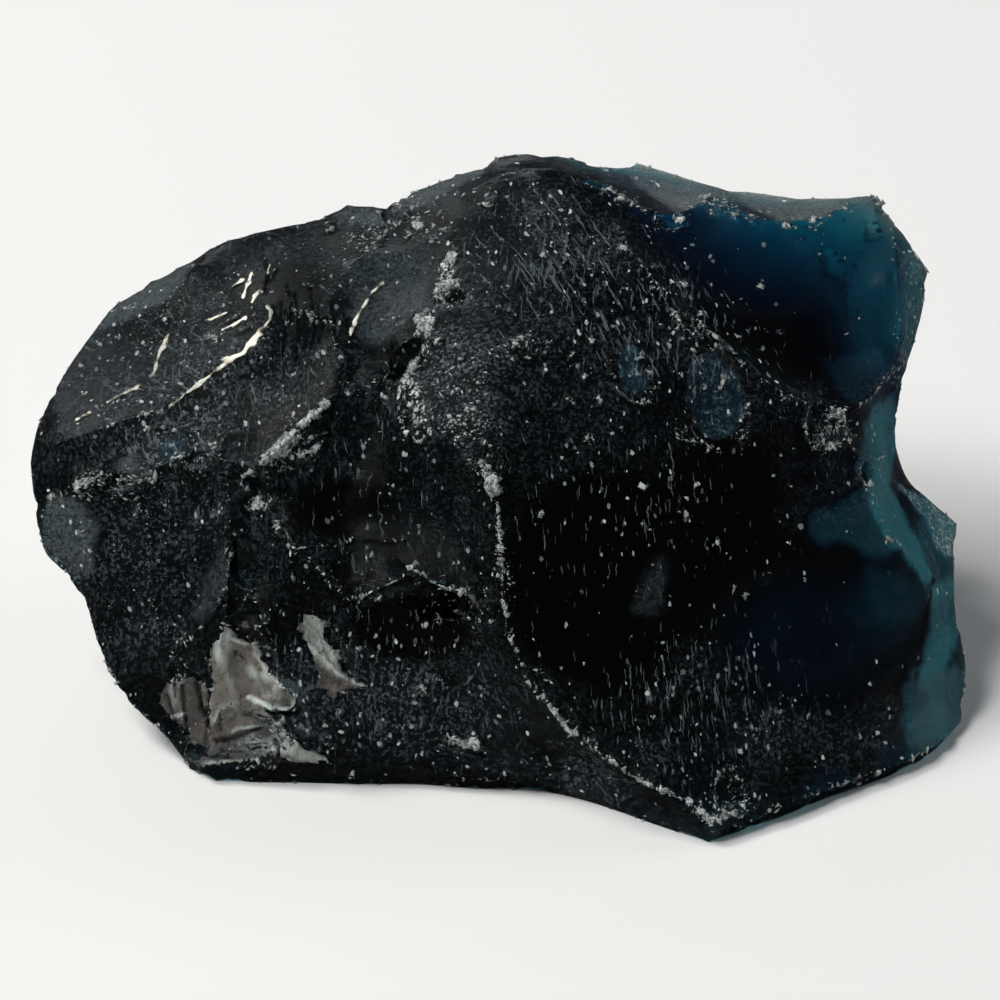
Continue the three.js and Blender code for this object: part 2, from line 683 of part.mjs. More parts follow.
// Easing passes: each vertex inside a face moves to the middle of its neighbours.
function relax(skin, passes) {
  const inner = innerVertices(skin);
  const around = new Map([...inner.keys()].map((v) => [v, new Set()]));
  for (const { corners } of skin.triangles) {
    corners.forEach((v, i) => {
      if (!around.has(v)) return;
      around.get(v).add(corners[(i + 1) % 3]);
      around.get(v).add(corners[(i + 2) % 3]);
    });
  }
  for (let pass = 0; pass < passes; pass++) {
    for (const [v, neighbours] of around) {
      const middle = new THREE.Vector3();
      neighbours.forEach((n) => middle.add(skin.vertices[n]));
      skin.vertices[v].copy(middle.divideScalar(neighbours.size));
    }
  }
}

// Sags each face in the middle and lays its ripples, both fading out towards its ridges.
function dishFaces(skin) {
  const inner = innerVertices(skin);
  const rims = skin.faces.map(() => new Set());
  for (const { corners, face } of skin.triangles) {
    corners.filter((v) => !inner.has(v)).forEach((v) => rims[face].add(v));
  }
  const reach = new Map();
  const widest = skin.faces.map(() => 0);
  for (const [v, face] of inner) {
    const place = skin.vertices[v];
    const near = Math.min(...[...rims[face]].map((r) => skin.vertices[r].distanceTo(place)));
    reach.set(v, near);
    widest[face] = Math.max(widest[face], near);
  }
  for (const [v, number] of inner) {
    const face = skin.faces[number];
    const share = reach.get(v) / widest[number];
    const sag = face.dish * widest[number] * (1 - (1 - share) ** 2);
    let swell = 0;
    if (face.strikePlace) {
      const place = skin.vertices[v];
      const warp = RIPPLE_WARP * jitter(place, 2 * RIPPLE_LENGTH).x;
      const turns = place.distanceTo(face.strikePlace) / RIPPLE_LENGTH + warp;
      swell = face.ripple * Math.sin(2 * Math.PI * turns) * Math.min(1, 2 * share);
    }
    skin.vertices[v].addScaledVector(face.normal, swell - sag);
  }
}

// The fractured lump before anything is bitten out of it.
function buildSkin() {
  const skin = { ...buildCage(), ridge: new Set() };
  while (splitLongSides(skin)) {
    swapSides(skin);
    relax(skin, SPLIT_PASSES);
    swapSides(skin);
  }
  for (let round = 0; round < RELAX_ROUNDS; round++) {
    swapSides(skin);
    relax(skin, RELAX_PASSES);
  }
  dishFaces(skin);
  return skin;
}

// A skin as a closed geometry.
function skinGeometry(skin) {
  const geometry = new THREE.BufferGeometry().setFromPoints(skin.vertices);
  geometry.setIndex(skin.triangles.flatMap(({ corners }) => corners));
  return geometry;
}

// ---- Joins and cuts --------------------------------------------------------------------------

const wasm = await Module();
wasm.setup();

// A closed geometry as a solid that can be cut.
function solidOf(geometry) {
  const bare = geometry.clone();
  bare.deleteAttribute("normal");
  bare.deleteAttribute("uv");
  const merged = mergeVertices(bare, WELD);
  return new wasm.Manifold(
    new wasm.Mesh({
      numProp: 3,
      vertProperties: merged.attributes.position.array,
      triVerts: new Uint32Array(merged.index.array),
    }),
  );
}

// A solid back as a geometry.
function geometryOf(solid) {
  const { vertProperties, triVerts } = solid.getMesh();
  const geometry = new THREE.BufferGeometry();
  geometry.setAttribute("position", new THREE.BufferAttribute(vertProperties, 3));
  geometry.setIndex(new THREE.BufferAttribute(triVerts, 1));
  return geometry;
}

// A ball of radius 1 with an uneven skin, different for each seed.
function unevenBall(detail, seed) {
  const ball = new THREE.IcosahedronGeometry(1, detail);
  const { position } = ball.attributes;
  const place = new THREE.Vector3();
  for (let i = 0; i < position.count; i++) {
    place.fromBufferAttribute(position, i);
    const [x, y, z] = place.toArray().map((part) => BITE_DENTS * part);
    place.multiplyScalar(1 + BITE_ROUGHNESS * noise.noise(x + BITE_SHUFFLE * seed, y, z));
    position.setXYZ(i, place.x, place.y, place.z);
  }
  return ball;
}

// One bite: a squashed ball sunk into the skin where it is first met from that side.
function biteOut(lump, from, [across, up, halfWidth, halfHeight, depth, turn]) {
  const start = placeOn(from, [across, up, FAR]);
  const [hit] = new THREE.Raycaster(start, from.out.clone().negate()).intersectObject(lump);
  const halfDepth = 0.5 * depth + BITE_ROUNDNESS * Math.max(halfWidth, halfHeight);
  const spread = 1 / Math.sqrt(1 - (1 - depth / halfDepth) ** 2);
  const detail = halfWidth * halfHeight > BROAD_BITE ? 2 : 1;
  const bite = unevenBall(detail, hit.point.x);
  bite.scale(halfWidth * spread, halfHeight * spread, halfDepth);
  bite.rotateZ(THREE.MathUtils.degToRad(turn));
  bite.applyMatrix4(new THREE.Matrix4().makeBasis(from.across, from.up, from.out));
  const centre = hit.point.clone().addScaledVector(from.out, halfDepth - depth);
  return bite.translate(centre.x, centre.y, centre.z);
}

// One chip: a bite measured from outside a ridge, with its long way along the ridge.
function chipOut(lump, skin, [first, second, share, halfLength, halfWidth, depth]) {
  const start = skin.corners[first];
  const end = skin.corners[second];
  const along = new THREE.Vector3().subVectors(end, start).normalize();
  const outward = new THREE.Vector3();
  skin.faces
    .filter(({ names }) => names.includes(first) && names.includes(second))
    .forEach(({ normal }) => outward.add(normal));
  const up = new THREE.Vector3().crossVectors(outward, along).normalize();
  const from = side(start.clone().lerp(end, share), along, up);
  return biteOut(lump, from, [0, 0, halfLength, halfWidth, depth, 0]);
}

// The block below the seat, which the lump's underside is cut off against.
function belowSeat() {
  return new THREE.BoxGeometry(2 * FAR, 2 * FAR, 2 * FAR).translate(0, 0, -FAR);
}

// ---- Chunk -----------------------------------------------------------------------------------

function glassMaterial() {
  return new THREE.MeshStandardMaterial({ color: 0x0b1a24, roughness: 0.25, metalness: 0 });
}

function buildChunk() {
  const skin = buildSkin();
  const raw = skinGeometry(skin);
  const lump = new THREE.Mesh(raw);
  const cuts = [
    ...BITES.map((bite) => biteOut(lump, FRONT_SIDE, bite)),
    ...CHIPS.map((chip) => chipOut(lump, skin, chip)),
    belowSeat(),
  ];
  const solid = cuts.reduce((rest, cut) => rest.subtract(solidOf(cut)), solidOf(raw));
  const geometry = geometryOf(solid);
  geometry.computeBoundingBox();
  const middle = geometry.boundingBox.getCenter(new THREE.Vector3());
  geometry.translate(-middle.x, -middle.y, 0);
  const chunk = new THREE.Mesh(geometry, glassMaterial());
  chunk.name = "glass_chunk";
  return chunk;
}

const root = new THREE.Group();
root.add(buildChunk());

export default root;
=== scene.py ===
"""Slag glass chunk: one lump of dark blue furnace glass, broken on every side.

The lump's own solid carries the shape. This script refines a copy of it, lays the fine breakage
into it (lips, grooves, nicked ridges, flaked crust), strews crushed crumbs along its ridges, and
dresses both in see-through dark glass with a worn, dusty skin. Into that skin it also paints light
and shade: pale gold highlights on little steps, teal light where the glass is thin, dark shade in
slits, in patches and along the foot, and a dark lining behind that only shows from within.
Lengths are millimetres until a mesh is made, and metres from there on.
"""

import logging
import math
from dataclasses import dataclass, field
from enum import Enum
from itertools import product
from typing import Optional, Sequence

import bmesh
import bpy
import numpy as np
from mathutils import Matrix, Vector
from mathutils.kdtree import KDTree


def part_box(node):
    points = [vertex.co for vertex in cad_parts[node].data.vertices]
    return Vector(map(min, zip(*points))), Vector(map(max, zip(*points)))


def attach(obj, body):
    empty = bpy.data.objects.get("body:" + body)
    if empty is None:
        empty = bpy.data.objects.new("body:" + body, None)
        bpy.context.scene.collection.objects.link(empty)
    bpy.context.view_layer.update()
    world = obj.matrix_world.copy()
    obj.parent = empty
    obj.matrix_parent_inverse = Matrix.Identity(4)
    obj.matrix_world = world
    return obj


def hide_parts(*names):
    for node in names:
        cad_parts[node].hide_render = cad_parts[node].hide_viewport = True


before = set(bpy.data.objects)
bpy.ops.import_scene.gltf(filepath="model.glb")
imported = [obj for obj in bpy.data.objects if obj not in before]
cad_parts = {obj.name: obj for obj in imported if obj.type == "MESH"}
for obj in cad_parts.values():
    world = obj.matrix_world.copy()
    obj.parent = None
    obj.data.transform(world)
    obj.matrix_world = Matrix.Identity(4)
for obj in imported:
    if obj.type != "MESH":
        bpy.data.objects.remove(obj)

LOG = logging.getLogger("slag_glass")
MM = 0.001  # metres in a millimetre
TINY = 1e-9  # keeps a division away from nought

Pair = tuple[float, float]
Triple = tuple[float, float, float]
Colour = tuple[float, float, float, float]
Array = np.ndarray
Socket = bpy.types.NodeSocket
Tree = bpy.types.NodeTree


# ---- The front, as measured ------------------------------


@dataclass(frozen=True)
class Front:
    """The leaning plane that the broken front is measured on, sighted square on from afar.

    Attributes:
        middle: The plane's middle in the lump's frame, in millimetres.
        lean: How far the plane leans back, in degrees.
        sight: How far away it is sighted from, in millimetres.
        deepest: The lowest place, out of the plane, that still belongs to the front.
        turned: How far a place on the front must face out of the plane, from 0 to 1.
    """

    middle: Triple = (0.0, -2.84, 22.4)
    lean: float = 30.0
    sight: float = 1500.0
    deepest: float = -17.0
    turned: float = 0.02

    def axes(self) -> Array:
        """The plane's ways across, up and out, one a row."""
        slope = math.radians(self.lean)
        rise, run = math.sin(slope), math.cos(slope)
        return np.array([[1, 0, 0], [0, rise, run], [0, -run, rise]])

    def measure(self, points: Array) -> Array:
        """Where points stand as sighted: across, up and out, one point a row.

        Args:
            points: Places in the lump's frame, in millimetres.

        Returns:
            The same places measured on the plane.
        """
        local = (points - np.array(self.middle)) @ self.axes().T
        nearer = self.sight / (self.sight - local[:, 2:3])
        return np.hstack([local[:, :2] * nearer, local[:, 2:3]])

    def faces_it(self, measured: Array, normals: Array) -> Array:
        """Which measured points, with these normals, are on the front and not behind the crest."""
        return (normals @ self.axes()[2] > self.turned) & (measured[:, 2] > self.deepest)


FRONT = Front()


# ---- Noise -----------------------------------------------

LATTICE_STEPS = (374761393, 668265263, 2147483647)  # one for each way through the lattice
LATTICE_MIXER = 1274126177
WHOLE_WORD, HALF_WORD = 0xFFFFFFFF, 0xFFFF


def lattice_value(cell: Array, seed: int) -> Array:
    """A repeatable value from -1 to 1 for each cell of a lattice.

    Args:
        cell: Whole-number cells, one a row.
        seed: Picks one of many unrelated lattices.

    Returns:
        One value a cell.
    """
    mixed = sum(cell[:, way] * step for way, step in enumerate(LATTICE_STEPS))
    mixed = (mixed + seed * LATTICE_MIXER) & WHOLE_WORD
    mixed = ((mixed ^ (mixed >> 13)) * LATTICE_MIXER) & WHOLE_WORD
    mixed = (mixed ^ (mixed >> 16)) & HALF_WORD
    return mixed / (0.5 * HALF_WORD) - 1.0


def smooth_noise(points: Array, spacing: float, seed: int) -> Array:
    """Smooth noise between -1 and 1 at each point.

    Args:
        points: Places, one a row.
        spacing: The size of one swell, in the same unit.
        seed: Picks one of many unrelated noises.

    Returns:
        One value a point.
    """
    scaled = points / spacing
    cell = np.floor(scaled).astype(np.int64)
    part = scaled - cell
    part = part * part * (3.0 - 2.0 * part)
    total = np.zeros(len(points))
    for corner in product((0, 1), repeat=3):
        weight = np.prod(np.where(corner, part, 1.0 - part), axis=1)
        total += weight * lattice_value(cell + np.array(corner), seed)
    return total


def rough_noise(points: Array, spacing: float, seed: int, octaves: int = 3) -> Array:
    """Noise with finer and finer swells on top of one another.

    Args:
        points: Places, one a row.
        spacing: The size of the broadest swell.
        seed: Picks one of many unrelated noises.
        octaves: How many sizes are laid on one another, each half the last.

    Returns:
        One value a point, between about -1 and 1.
    """
    total = np.zeros(len(points))
    for octave in range(octaves):
        share = 0.5**octave
        total += share * smooth_noise(points, spacing * share, seed + octave)
    return total / (2.0 - 0.5 ** (octaves - 1))


def ease(value: Array, low: float, high: float) -> Array:
    """A smooth step: 0 at low, 1 at high."""
    share = np.clip((value - low) / (high - low), 0.0, 1.0)
    return share * share * (3.0 - 2.0 * share)


@dataclass(frozen=True)
class Clouds:
    """Rough noise that is cut down to a share from 0 to 1.

    Attributes:
        spacing: The size of its broadest swell.
        seed: Picks one of many unrelated noises.
        low: The noise up to which the share is 0.
        high: The noise from which it is 1.
    """

    spacing: float
    seed: int
    low: float
    high: float

    def at(self, points: Array) -> Array:
        """The share at each point."""
        return ease(rough_noise(points, self.spacing, self.seed), self.low, self.high)


# ---- Marks on the front ----------------------------------

GROOVE_PROFILE = 1.3  # above 1, a groove is narrower at its foot
MARK_CORE, MARK_RIM = 0.3, 1.1  # where a mark's colour fades, as shares of its half width
WHITENING = 1.3  # how much a fully crushed mark whitens
CRUSH_LEFT, PAINTED_GLINT_LEFT, DARK_LEFT = 0.45, 0.35, 0.25  # what a mark keeps of each in its gaps


class Relief(Enum):
    """What a mark does to the skin."""

    GROOVE = "groove"
    LIP = "lip"
    RAISED = "raised"
    FLAT = "flat"
    # A low step with a pale gold highlight painted along it: a painted glint.
    GILDED = "gilded"
    # A groove painted dark with shade.
    SLIT = "slit"


class Field(Enum):
    """A mask that is kept at every point of the skin."""

    CRUSH = "crush"
    VEIL = "veil"
    CRUST = "crust"
    FROST = "frost"
    SCORE = "score"
    EDGE = "edge"
    MATT = "matt"
    # Painted glints: pale gold highlights painted along the steps.
    GILT = "gilt"
    # Painted teal light where the glass is thin, standing in for light shining through it.
    GLOW = "glow"
    # A dark lining of painted shade behind, seen only from within the glass.
    COAT = "coat"
    DULL = "dull"
    # Painted shade: dark slits, dark patches and a dark band along the foot.
    SLIT = "slit"


@dataclass(frozen=True)
class Stroke:
    """A mark along a line across the front.

    Attributes:
        path: The line's points, across and up, in millimetres.
        half_width: How far the mark reaches to either side.
        depth: How deep it goes into the skin, or how far a raised one stands proud.
        crush: How white and crushed it is, from 0 to 1.
        relief: What it does to the skin. A lip drops away on the right of its path.
        reach: How far a lip's drop runs out before it meets the skin again.
    """

    path: tuple[Pair, ...]
    half_width: float
    depth: float
    crush: float
    relief: Relief = Relief.FLAT
    reach: float = 2.5

    def distance(self, places: Array) -> tuple[Array, Array]:
        """How far places are from the path, and on which side of it.

        Args:
            places: Points across and up, one a row.

        Returns:
            The distance of each, and 1 on the right of the path or -1 on its left.
        """
        nearest = np.full(len(places), np.inf)
        side = np.ones(len(places))
        path = self.path if len(self.path) > 1 else self.path * 2
        for start, end in zip(path, path[1:]):
            begin = np.array(start)
            run = np.array(end) - begin
            away = places - begin
            share = np.clip(away @ run / (run @ run + TINY), 0.0, 1.0)
            gap = np.linalg.norm(away - share[:, None] * run, axis=1)
            closer = gap < nearest
            turn = away[:, 0] * run[1] - away[:, 1] * run[0]
            side = np.where(closer, np.where(turn >= 0, 1.0, -1.0), side)
            nearest = np.where(closer, gap, nearest)
        return nearest, side

    def shift(self, gap: Array, side: Array) -> Array:
        """How far the skin moves outwards under the mark.

        Args:
            gap: Distance of each point from the path.
            side: Which side of the path each point is on.

        Returns:
            The move of each point, in millimetres.
        """
        across = np.clip(1.0 - gap / self.half_width, 0.0, 1.0)
        if self.relief in (Relief.GROOVE, Relief.SLIT):
            return -self.depth * across**GROOVE_PROFILE
        if self.relief in (Relief.RAISED, Relief.GILDED):
            return self.depth * np.sqrt(across)
        if self.relief is Relief.LIP:
            dropped = ease(gap * side, 0.0, self.half_width)
            return -self.depth * (dropped * (1.0 - ease(gap, self.half_width, self.reach)))
        return np.zeros(len(gap))

    def colouring(self, gap: Array, whole: Array) -> dict[Field, Array]:
        """What the mark brings to the skin's masks.

        Args:
            gap: Distance of each point from the path.
            whole: How unbroken the mark is at each point, from 0 to 1.

        Returns:
            The least value of each mask that it changes.
        """
        core, rim = MARK_CORE * self.half_width, MARK_RIM * self.half_width
        inner = 1.0 - ease(gap, core, self.half_width)
        crushed = self.crush * (1.0 - ease(gap, core, rim))
        made = {Field.CRUSH: WHITENING * (crushed * (CRUSH_LEFT + (1.0 - CRUSH_LEFT) * whole))}
        # A step of this kind gets a painted glint along its middle.
        if self.relief is Relief.GILDED:
            made[Field.GILT] = inner * (PAINTED_GLINT_LEFT + (1.0 - PAINTED_GLINT_LEFT) * whole)
        # A slit of this kind is painted dark with shade.
        if self.relief is Relief.SLIT:
            made[Field.SLIT] = inner * (DARK_LEFT + (1.0 - DARK_LEFT) * whole)
        return made


@dataclass(frozen=True)
class Zone:
    """A soft-edged oval on the front where one mask is stronger or weaker.

    Attributes:
        across: The oval's middle, across.
        up: The oval's middle, up.
        half_width: Half its width, in millimetres.
        half_height: Half its height, in millimetres.
        amount: What it adds to the mask at its middle.
        turn: How far it is turned anticlockwise, in degrees.
        edge: Where it starts to fade, as a share of its half width.
    """

    across: float
    up: float
    half_width: float
    half_height: float
    amount: float
    turn: float = 0.0
    edge: float = 0.35

    def amounts(self, places: Array) -> Array:
        """What the zone adds at each place.

        Args:
            places: Points across and up, one a row.

        Returns:
            One amount a point.
        """
        angle = math.radians(self.turn)
        away = places - np.array([self.across, self.up])
        along = away[:, 0] * math.cos(angle) + away[:, 1] * math.sin(angle)
        cross = away[:, 1] * math.cos(angle) - away[:, 0] * math.sin(angle)
        radius = np.hypot(along / self.half_width, cross / self.half_height)
        return self.amount * (1.0 - ease(radius, self.edge, 1.0))


def inside(outline: Sequence[Pair], places: Array) -> Array:
    """Which places are inside an outline.

    Args:
        outline: The outline's corners in order, across and up.
        places: Points across and up, one a row.

    Returns:
        True for each place inside it.
    """
    odd = np.zeros(len(places), dtype=bool)
    for (x0, y0), (x1, y1) in zip(outline, (*outline[1:], outline[0])):
        spans = (places[:, 1] < y0) != (places[:, 1] < y1)
        crossing = x0 + (places[:, 1] - y0) * (x1 - x0) / (y1 - y0 + TINY)
        odd ^= spans & (places[:, 0] < crossing)
    return odd


# Height of the steps with painted glints.
GLINT_STEP_HEIGHT = 0.12  # how far a bright step stands proud


def gilded(half_width: float, *path: Pair) -> Stroke:
    """A low step with a pale gold highlight painted along it."""
    return Stroke(path, half_width, GLINT_STEP_HEIGHT, 0.0, Relief.GILDED)


def raised(half_width: float, height: float, crush: float, *path: Pair) -> Stroke:
    """A ridge that stands proud."""
    return Stroke(path, half_width, height, crush, Relief.RAISED)


def groove(half_width: float, depth: float, *path: Pair) -> Stroke:
    """A groove in the glass."""
    return Stroke(path, half_width, depth, 0.0, Relief.GROOVE)


def slit(half_width: float, depth: float, *path: Pair) -> Stroke:
    """A narrow groove painted dark with shade."""
    return Stroke(path, half_width, depth, 0.0, Relief.SLIT)


def lip(half_width: float, depth: float, crush: float, reach: float, *path: Pair) -> Stroke:
    """A lip that drops away on the right of its path."""
    return Stroke(path, half_width, depth, crush, Relief.LIP, reach)


def pale(half_width: float, crush: float, *path: Pair) -> Stroke:
    """A pale line without relief."""
    return Stroke(path, half_width, 0.0, crush)


# Steps at the upper west; those made as painted-glint steps carry pale gold highlights painted along
# them.
GLINT_STEPS: tuple[Stroke, ...] = (
    # Long curved step and the shorter one west of it.
    gilded(0.24, (-23.3, 19.3), (-22.9, 18.9), (-23, 18), (-23.8, 17)),
    gilded(0.34, (-23.8, 17), (-24.8, 15.8), (-25.7, 14.7), (-27, 14), (-28.7, 12.8)),
    gilded(0.22, (-28.7, 12.8), (-30, 11.7), (-31.3, 10.7), (-33, 9.3)),
    gilded(0.26, (-33.2, 16.5), (-34, 14.7), (-34.5, 12.8), (-35, 12.3)),
    gilded(0.22, (-36, 11.5), (-37.3, 10.8), (-39.3, 9.7)),
    gilded(0.28, (-42.3, 8), (-41, 8.8)),
    # Thin step on the smooth panel.
    gilded(0.24, (-15, 16.5), (-14.5, 18), (-13.5, 19.7), (-12.7, 20.8), (-11.7, 21.7)),
    raised(0.3, 0.2, 0.5, (-17.3, 20), (-16.7, 16.5), (-16.2, 15)),
    # Cluster of little steps above the long one.
    gilded(0.2, (-26.8, 21.3), (-25.7, 22)),
    gilded(0.24, (-25.7, 20.2), (-24.8, 22.7)),
    gilded(0.18, (-23.3, 22.7), (-23, 23.5)),
    raised(0.16, 0.2, 0.4, (-22.9, 22), (-22.4, 23.3)),
    gilded(0.2, (-24.8, 19.7), (-24, 21)),
    gilded(0.22, (-29.2, 18), (-27.3, 18.7)),
    gilded(0.22, (-27.7, 17), (-26.6, 17.5), (-25.5, 18.2)),
    raised(0.18, 0.25, 0.4, (-27.3, 17.7), (-26, 18.3)),
    raised(0.2, 0.25, 0.3, (-26.3, 16.5), (-24.7, 17.3)),
    raised(0.45, 0.2, 0.6, (-28.9, 16.3), (-28.4, 16.1)),
)

HACKLE: tuple[Stroke, ...] = tuple(
    # Dark grooves of uneven length that run down the upper west face.
    groove(0.3, 0.3, (across, top), (across + 0.5, 0.5 * (top + foot)), (across + 0.1, foot))
    for across, top, foot in (
        (-21.8, 19.6, 14.2), (-21.2, 21.4, 17.6), (-20.4, 20.6, 13.4), (-19.6, 18.4, 15),
        (-18.9, 21.2, 14.6), (-18.2, 19.2, 15.8), (-23.6, 24.2, 20.6),
    )
)

LIPS: tuple[Stroke, ...] = (
    # Crescent beside the knot, dropping away towards the hollow.
    raised(0.5, 0.55, 0.75, (-5.8, 15.8), (-7, 15.8), (-9.5, 12), (-9.9, 10), (-9.5, 7), (-7.9, 5.8)),
    # Brow over the dark hollow.
    lip(0.28, 0.7, 0.6, 1.8, (-15, -10.3), (-12.6, -9), (-9.5, -7.8)),
    lip(0.3, 0.8, 0.75, 2.2, (-9.5, -6.5), (-7, -8.2), (-5.2, -9), (-3.5, -9.2)),
    pale(0.2, 0.35, (-14, -10.6), (-11.5, -9.6), (-10.4, -9.2)),
    # Seam across the middle face.
    raised(0.16, 0.15, 0.5, (-20, -4.8), (-16, -4.6), (-14.6, -3.8)),
    raised(0.18, 0.15, 0.6, (-13.6, -3.9), (-12, -4.2), (-9.3, -4)),
    # Curtain ridge and its hollow.
    raised(0.26, 0.3, 0.35, (-27.3, 2.7), (-27.1, -4), (-27.3, -8.5), (-28.4, -11.5)),
    raised(0.22, 0.15, 0.4, (-24.5, -9.8), (-22.8, -14)),
    raised(0.22, 0.2, 0.55, (-21, -3.9), (-20.8, -6.6), (-20.7, -7.8)),
    raised(0.22, 0.15, 0.5, (-22.4, -3.2), (-20.5, -4.9), (-19.6, -4.9)),
    # Dark slit east of the second crust, and the ribs beside it.
    groove(0.35, 0.9, (-17.9, -12.3), (-16.6, -14.3), (-15.8, -16.4), (-14.8, -18)),
    raised(0.22, 0.25, 0.3, (-16.4, -12.6), (-15.2, -14.6), (-14.6, -17.4)),
    # Broken step between the upper and the lower west faces.
    raised(0.5, 0.25, 0.8, (-45, 0.2), (-42, 1.6), (-39.2, 2.4)),
    lip(0.35, 0.8, 0.15, 1.8, (-39.2, 2.4), (-34, 3.4), (-31.5, 4.3), (-28.2, 4.8)),
    raised(0.22, 0.2, 0.6, (-35.4, 7.2), (-31.4, 7), (-30.8, 6.4)),
    raised(0.25, 0.2, 0.6, (-33.3, 3.6), (-30.8, 5), (-29.4, 5)),
    # Ridge of the ledge, with its two leaves.
    raised(0.45, 0.3, 0.8, (-25.4, 2.6), (-23.7, 3.9), (-20.9, 6.6), (-18.8, 8.4), (-17.3, 9.7)),
    raised(0.26, 0.25, 0.75, (-20, 4.4), (-18.2, 5.2), (-17.4, 6.7)),
    raised(0.24, 0.2, 0.7, (-20.3, 4.6), (-19, 6.2), (-17.5, 6.8)),
    # Window ridge, seen as a thin white line, and the diagonal ridge west of it.
    raised(0.24, 0.15, 0.5, (40.5, 14), (38, 11.5), (36.6, 10), (35, 9)),
    raised(0.26, 0.2, 0.6, (18.6, 18.4), (20, 17.5), (22.4, 15.6), (23.5, 14.5)),
    # Two thin cracks painted dark with shade.
    slit(0.2, 0.1, (34.5, 22.7), (34.7, 18), (35.2, 15.3)),
    slit(0.18, 0.1, (43.4, -8), (42, -14), (41.5, -18)),
    # Round stepped pit near the foot.
    groove(
        0.24, 0.35, (21.6, -27), (22.4, -26.3), (24.2, -26.2), (25.2, -27.6), (25, -29.4), (23.6, -30),
    ),
    groove(0.24, 0.35, (22.6, -27.6), (23.6, -27.2), (24.2, -28.2), (23.4, -28.8)),
    # Low crack lines above the foot.
    lip(0.28, 0.3, 0.3, 1.4, (5, -26.4), (8.5, -27.2), (13.2, -28.2)),
    pale(0.3, 0.5, (23.8, -31.2), (27.5, -30.5), (31.4, -29.4), (34, -28.5), (38.5, -27)),
    pale(0.2, 0.12, (-29.5, -27.2), (-10, -27.6), (2, -27.8), (14, -30.6)),
)

FLAKES: tuple[Stroke, ...] = (
    # Pale ridges of the crust.
    raised(0.3, 0.2, 0.5, (-29.3, -15.2), (-28.8, -18.9)),
    raised(0.35, 0.3, 0.75, (-25.1, -19.8), (-23.2, -20.6), (-21.5, -22)),
    raised(0.28, 0.25, 0.6, (-22.4, -18.2), (-20.4, -19.4), (-20.6, -20.9), (-23, -20.8)),
    raised(0.25, 0.2, 0.4, (-25, -13.6), (-24, -16), (-22.6, -18)),
    raised(0.25, 0.2, 0.45, (-27.2, -13.6), (-25.4, -14.4), (-24.2, -14)),
    raised(0.25, 0.25, 0.55, (-26.7, -23.1), (-24.4, -22.6), (-22.1, -22.4)),
    raised(0.3, 0.25, 0.5, (-21.5, -23.1), (-20, -25), (-17.1, -26.2)),
    raised(0.3, 0.25, 0.55, (-33.4, -21.8), (-31.6, -21.5)),
    raised(0.25, 0.2, 0.35, (-29.6, -26.3), (-25, -26.1), (-21, -25.9)),
    raised(0.2, 0.2, 0.4, (-26, -24.4), (-23.8, -24.2)),
    raised(
        0.28, 0.2, 0.45, (-19.3, -12.4), (-18.2, -13.6), (-17.6, -15.6), (-16.2, -17.4),
        (-13.6, -18.6),
    ),
    raised(0.18, 0.2, 0.4, (-23.2, -12), (-22.9, -14), (-22.4, -15.5)),
    raised(0.4, 0.25, 0.35, (-15.6, -20.8), (-15.9, -21.9)),
    # Slits that part its flakes, painted dark with shade.
    slit(0.32, 0.4, (-29.4, -16.2), (-29.1, -18.2), (-29.2, -20.5), (-29.5, -23), (-29.4, -24.7)),
    slit(0.3, 0.4, (-30.4, -18.2), (-30, -20), (-29.6, -21.7)),
    slit(0.24, 0.4, (-31.7, -18.5), (-31.5, -21), (-31.2, -23), (-30.9, -24.7)),
    slit(0.24, 0.4, (-33.5, -19.5), (-32.7, -21.7), (-31.7, -24)),
    slit(0.22, 0.3, (-32.6, -17.6), (-32.4, -19.6)),
    slit(0.28, 0.4, (-28.7, -24), (-26.7, -23.9), (-24.5, -23), (-23.2, -22.5)),
    slit(0.22, 0.3, (-27.7, -25), (-26.2, -25), (-24, -24.7)),
    slit(0.22, 0.3, (-31, -25), (-29, -25.6), (-27, -25.8)),
    slit(0.3, 0.4, (-23.2, -21.1), (-21, -21.5), (-20.2, -21)),
    slit(0.24, 0.3, (-22.5, -24), (-22, -25.5), (-23.3, -25.4)),
    slit(0.22, 0.3, (-25.6, -21.4), (-24, -21.6), (-23, -22)),
    slit(0.16, 0.2, (-26.6, -15.2), (-25.6, -15.8)),
    slit(0.2, 0.3, (-28, -21), (-27.8, -23)),
    slit(0.2, 0.3, (-19.6, -13.4), (-19.2, -15)),
)

KEEL_LINE: tuple[Stroke, ...] = (
    raised(0.85, 0.35, 0.95, (-1.6, 3.6), (-1, 2.4), (-0.4, 0.8)),
    raised(0.3, 0.2, 0.75, (-0.4, 0.8), (0, -4), (0.3, -10), (1.2, -14)),
    raised(0.22, 0.15, 0.45, (1.2, -14), (3.7, -19)),
    raised(0.34, 0.2, 0.75, (3.7, -19), (7, -23), (10.5, -25.5)),
    raised(0.4, 0.2, 0.75, (10.5, -25.5), (15, -28.5), (19, -30.2)),
    raised(0.7, 0.2, 0.85, (19, -30.6), (21, -32), (23.6, -31.4)),
)

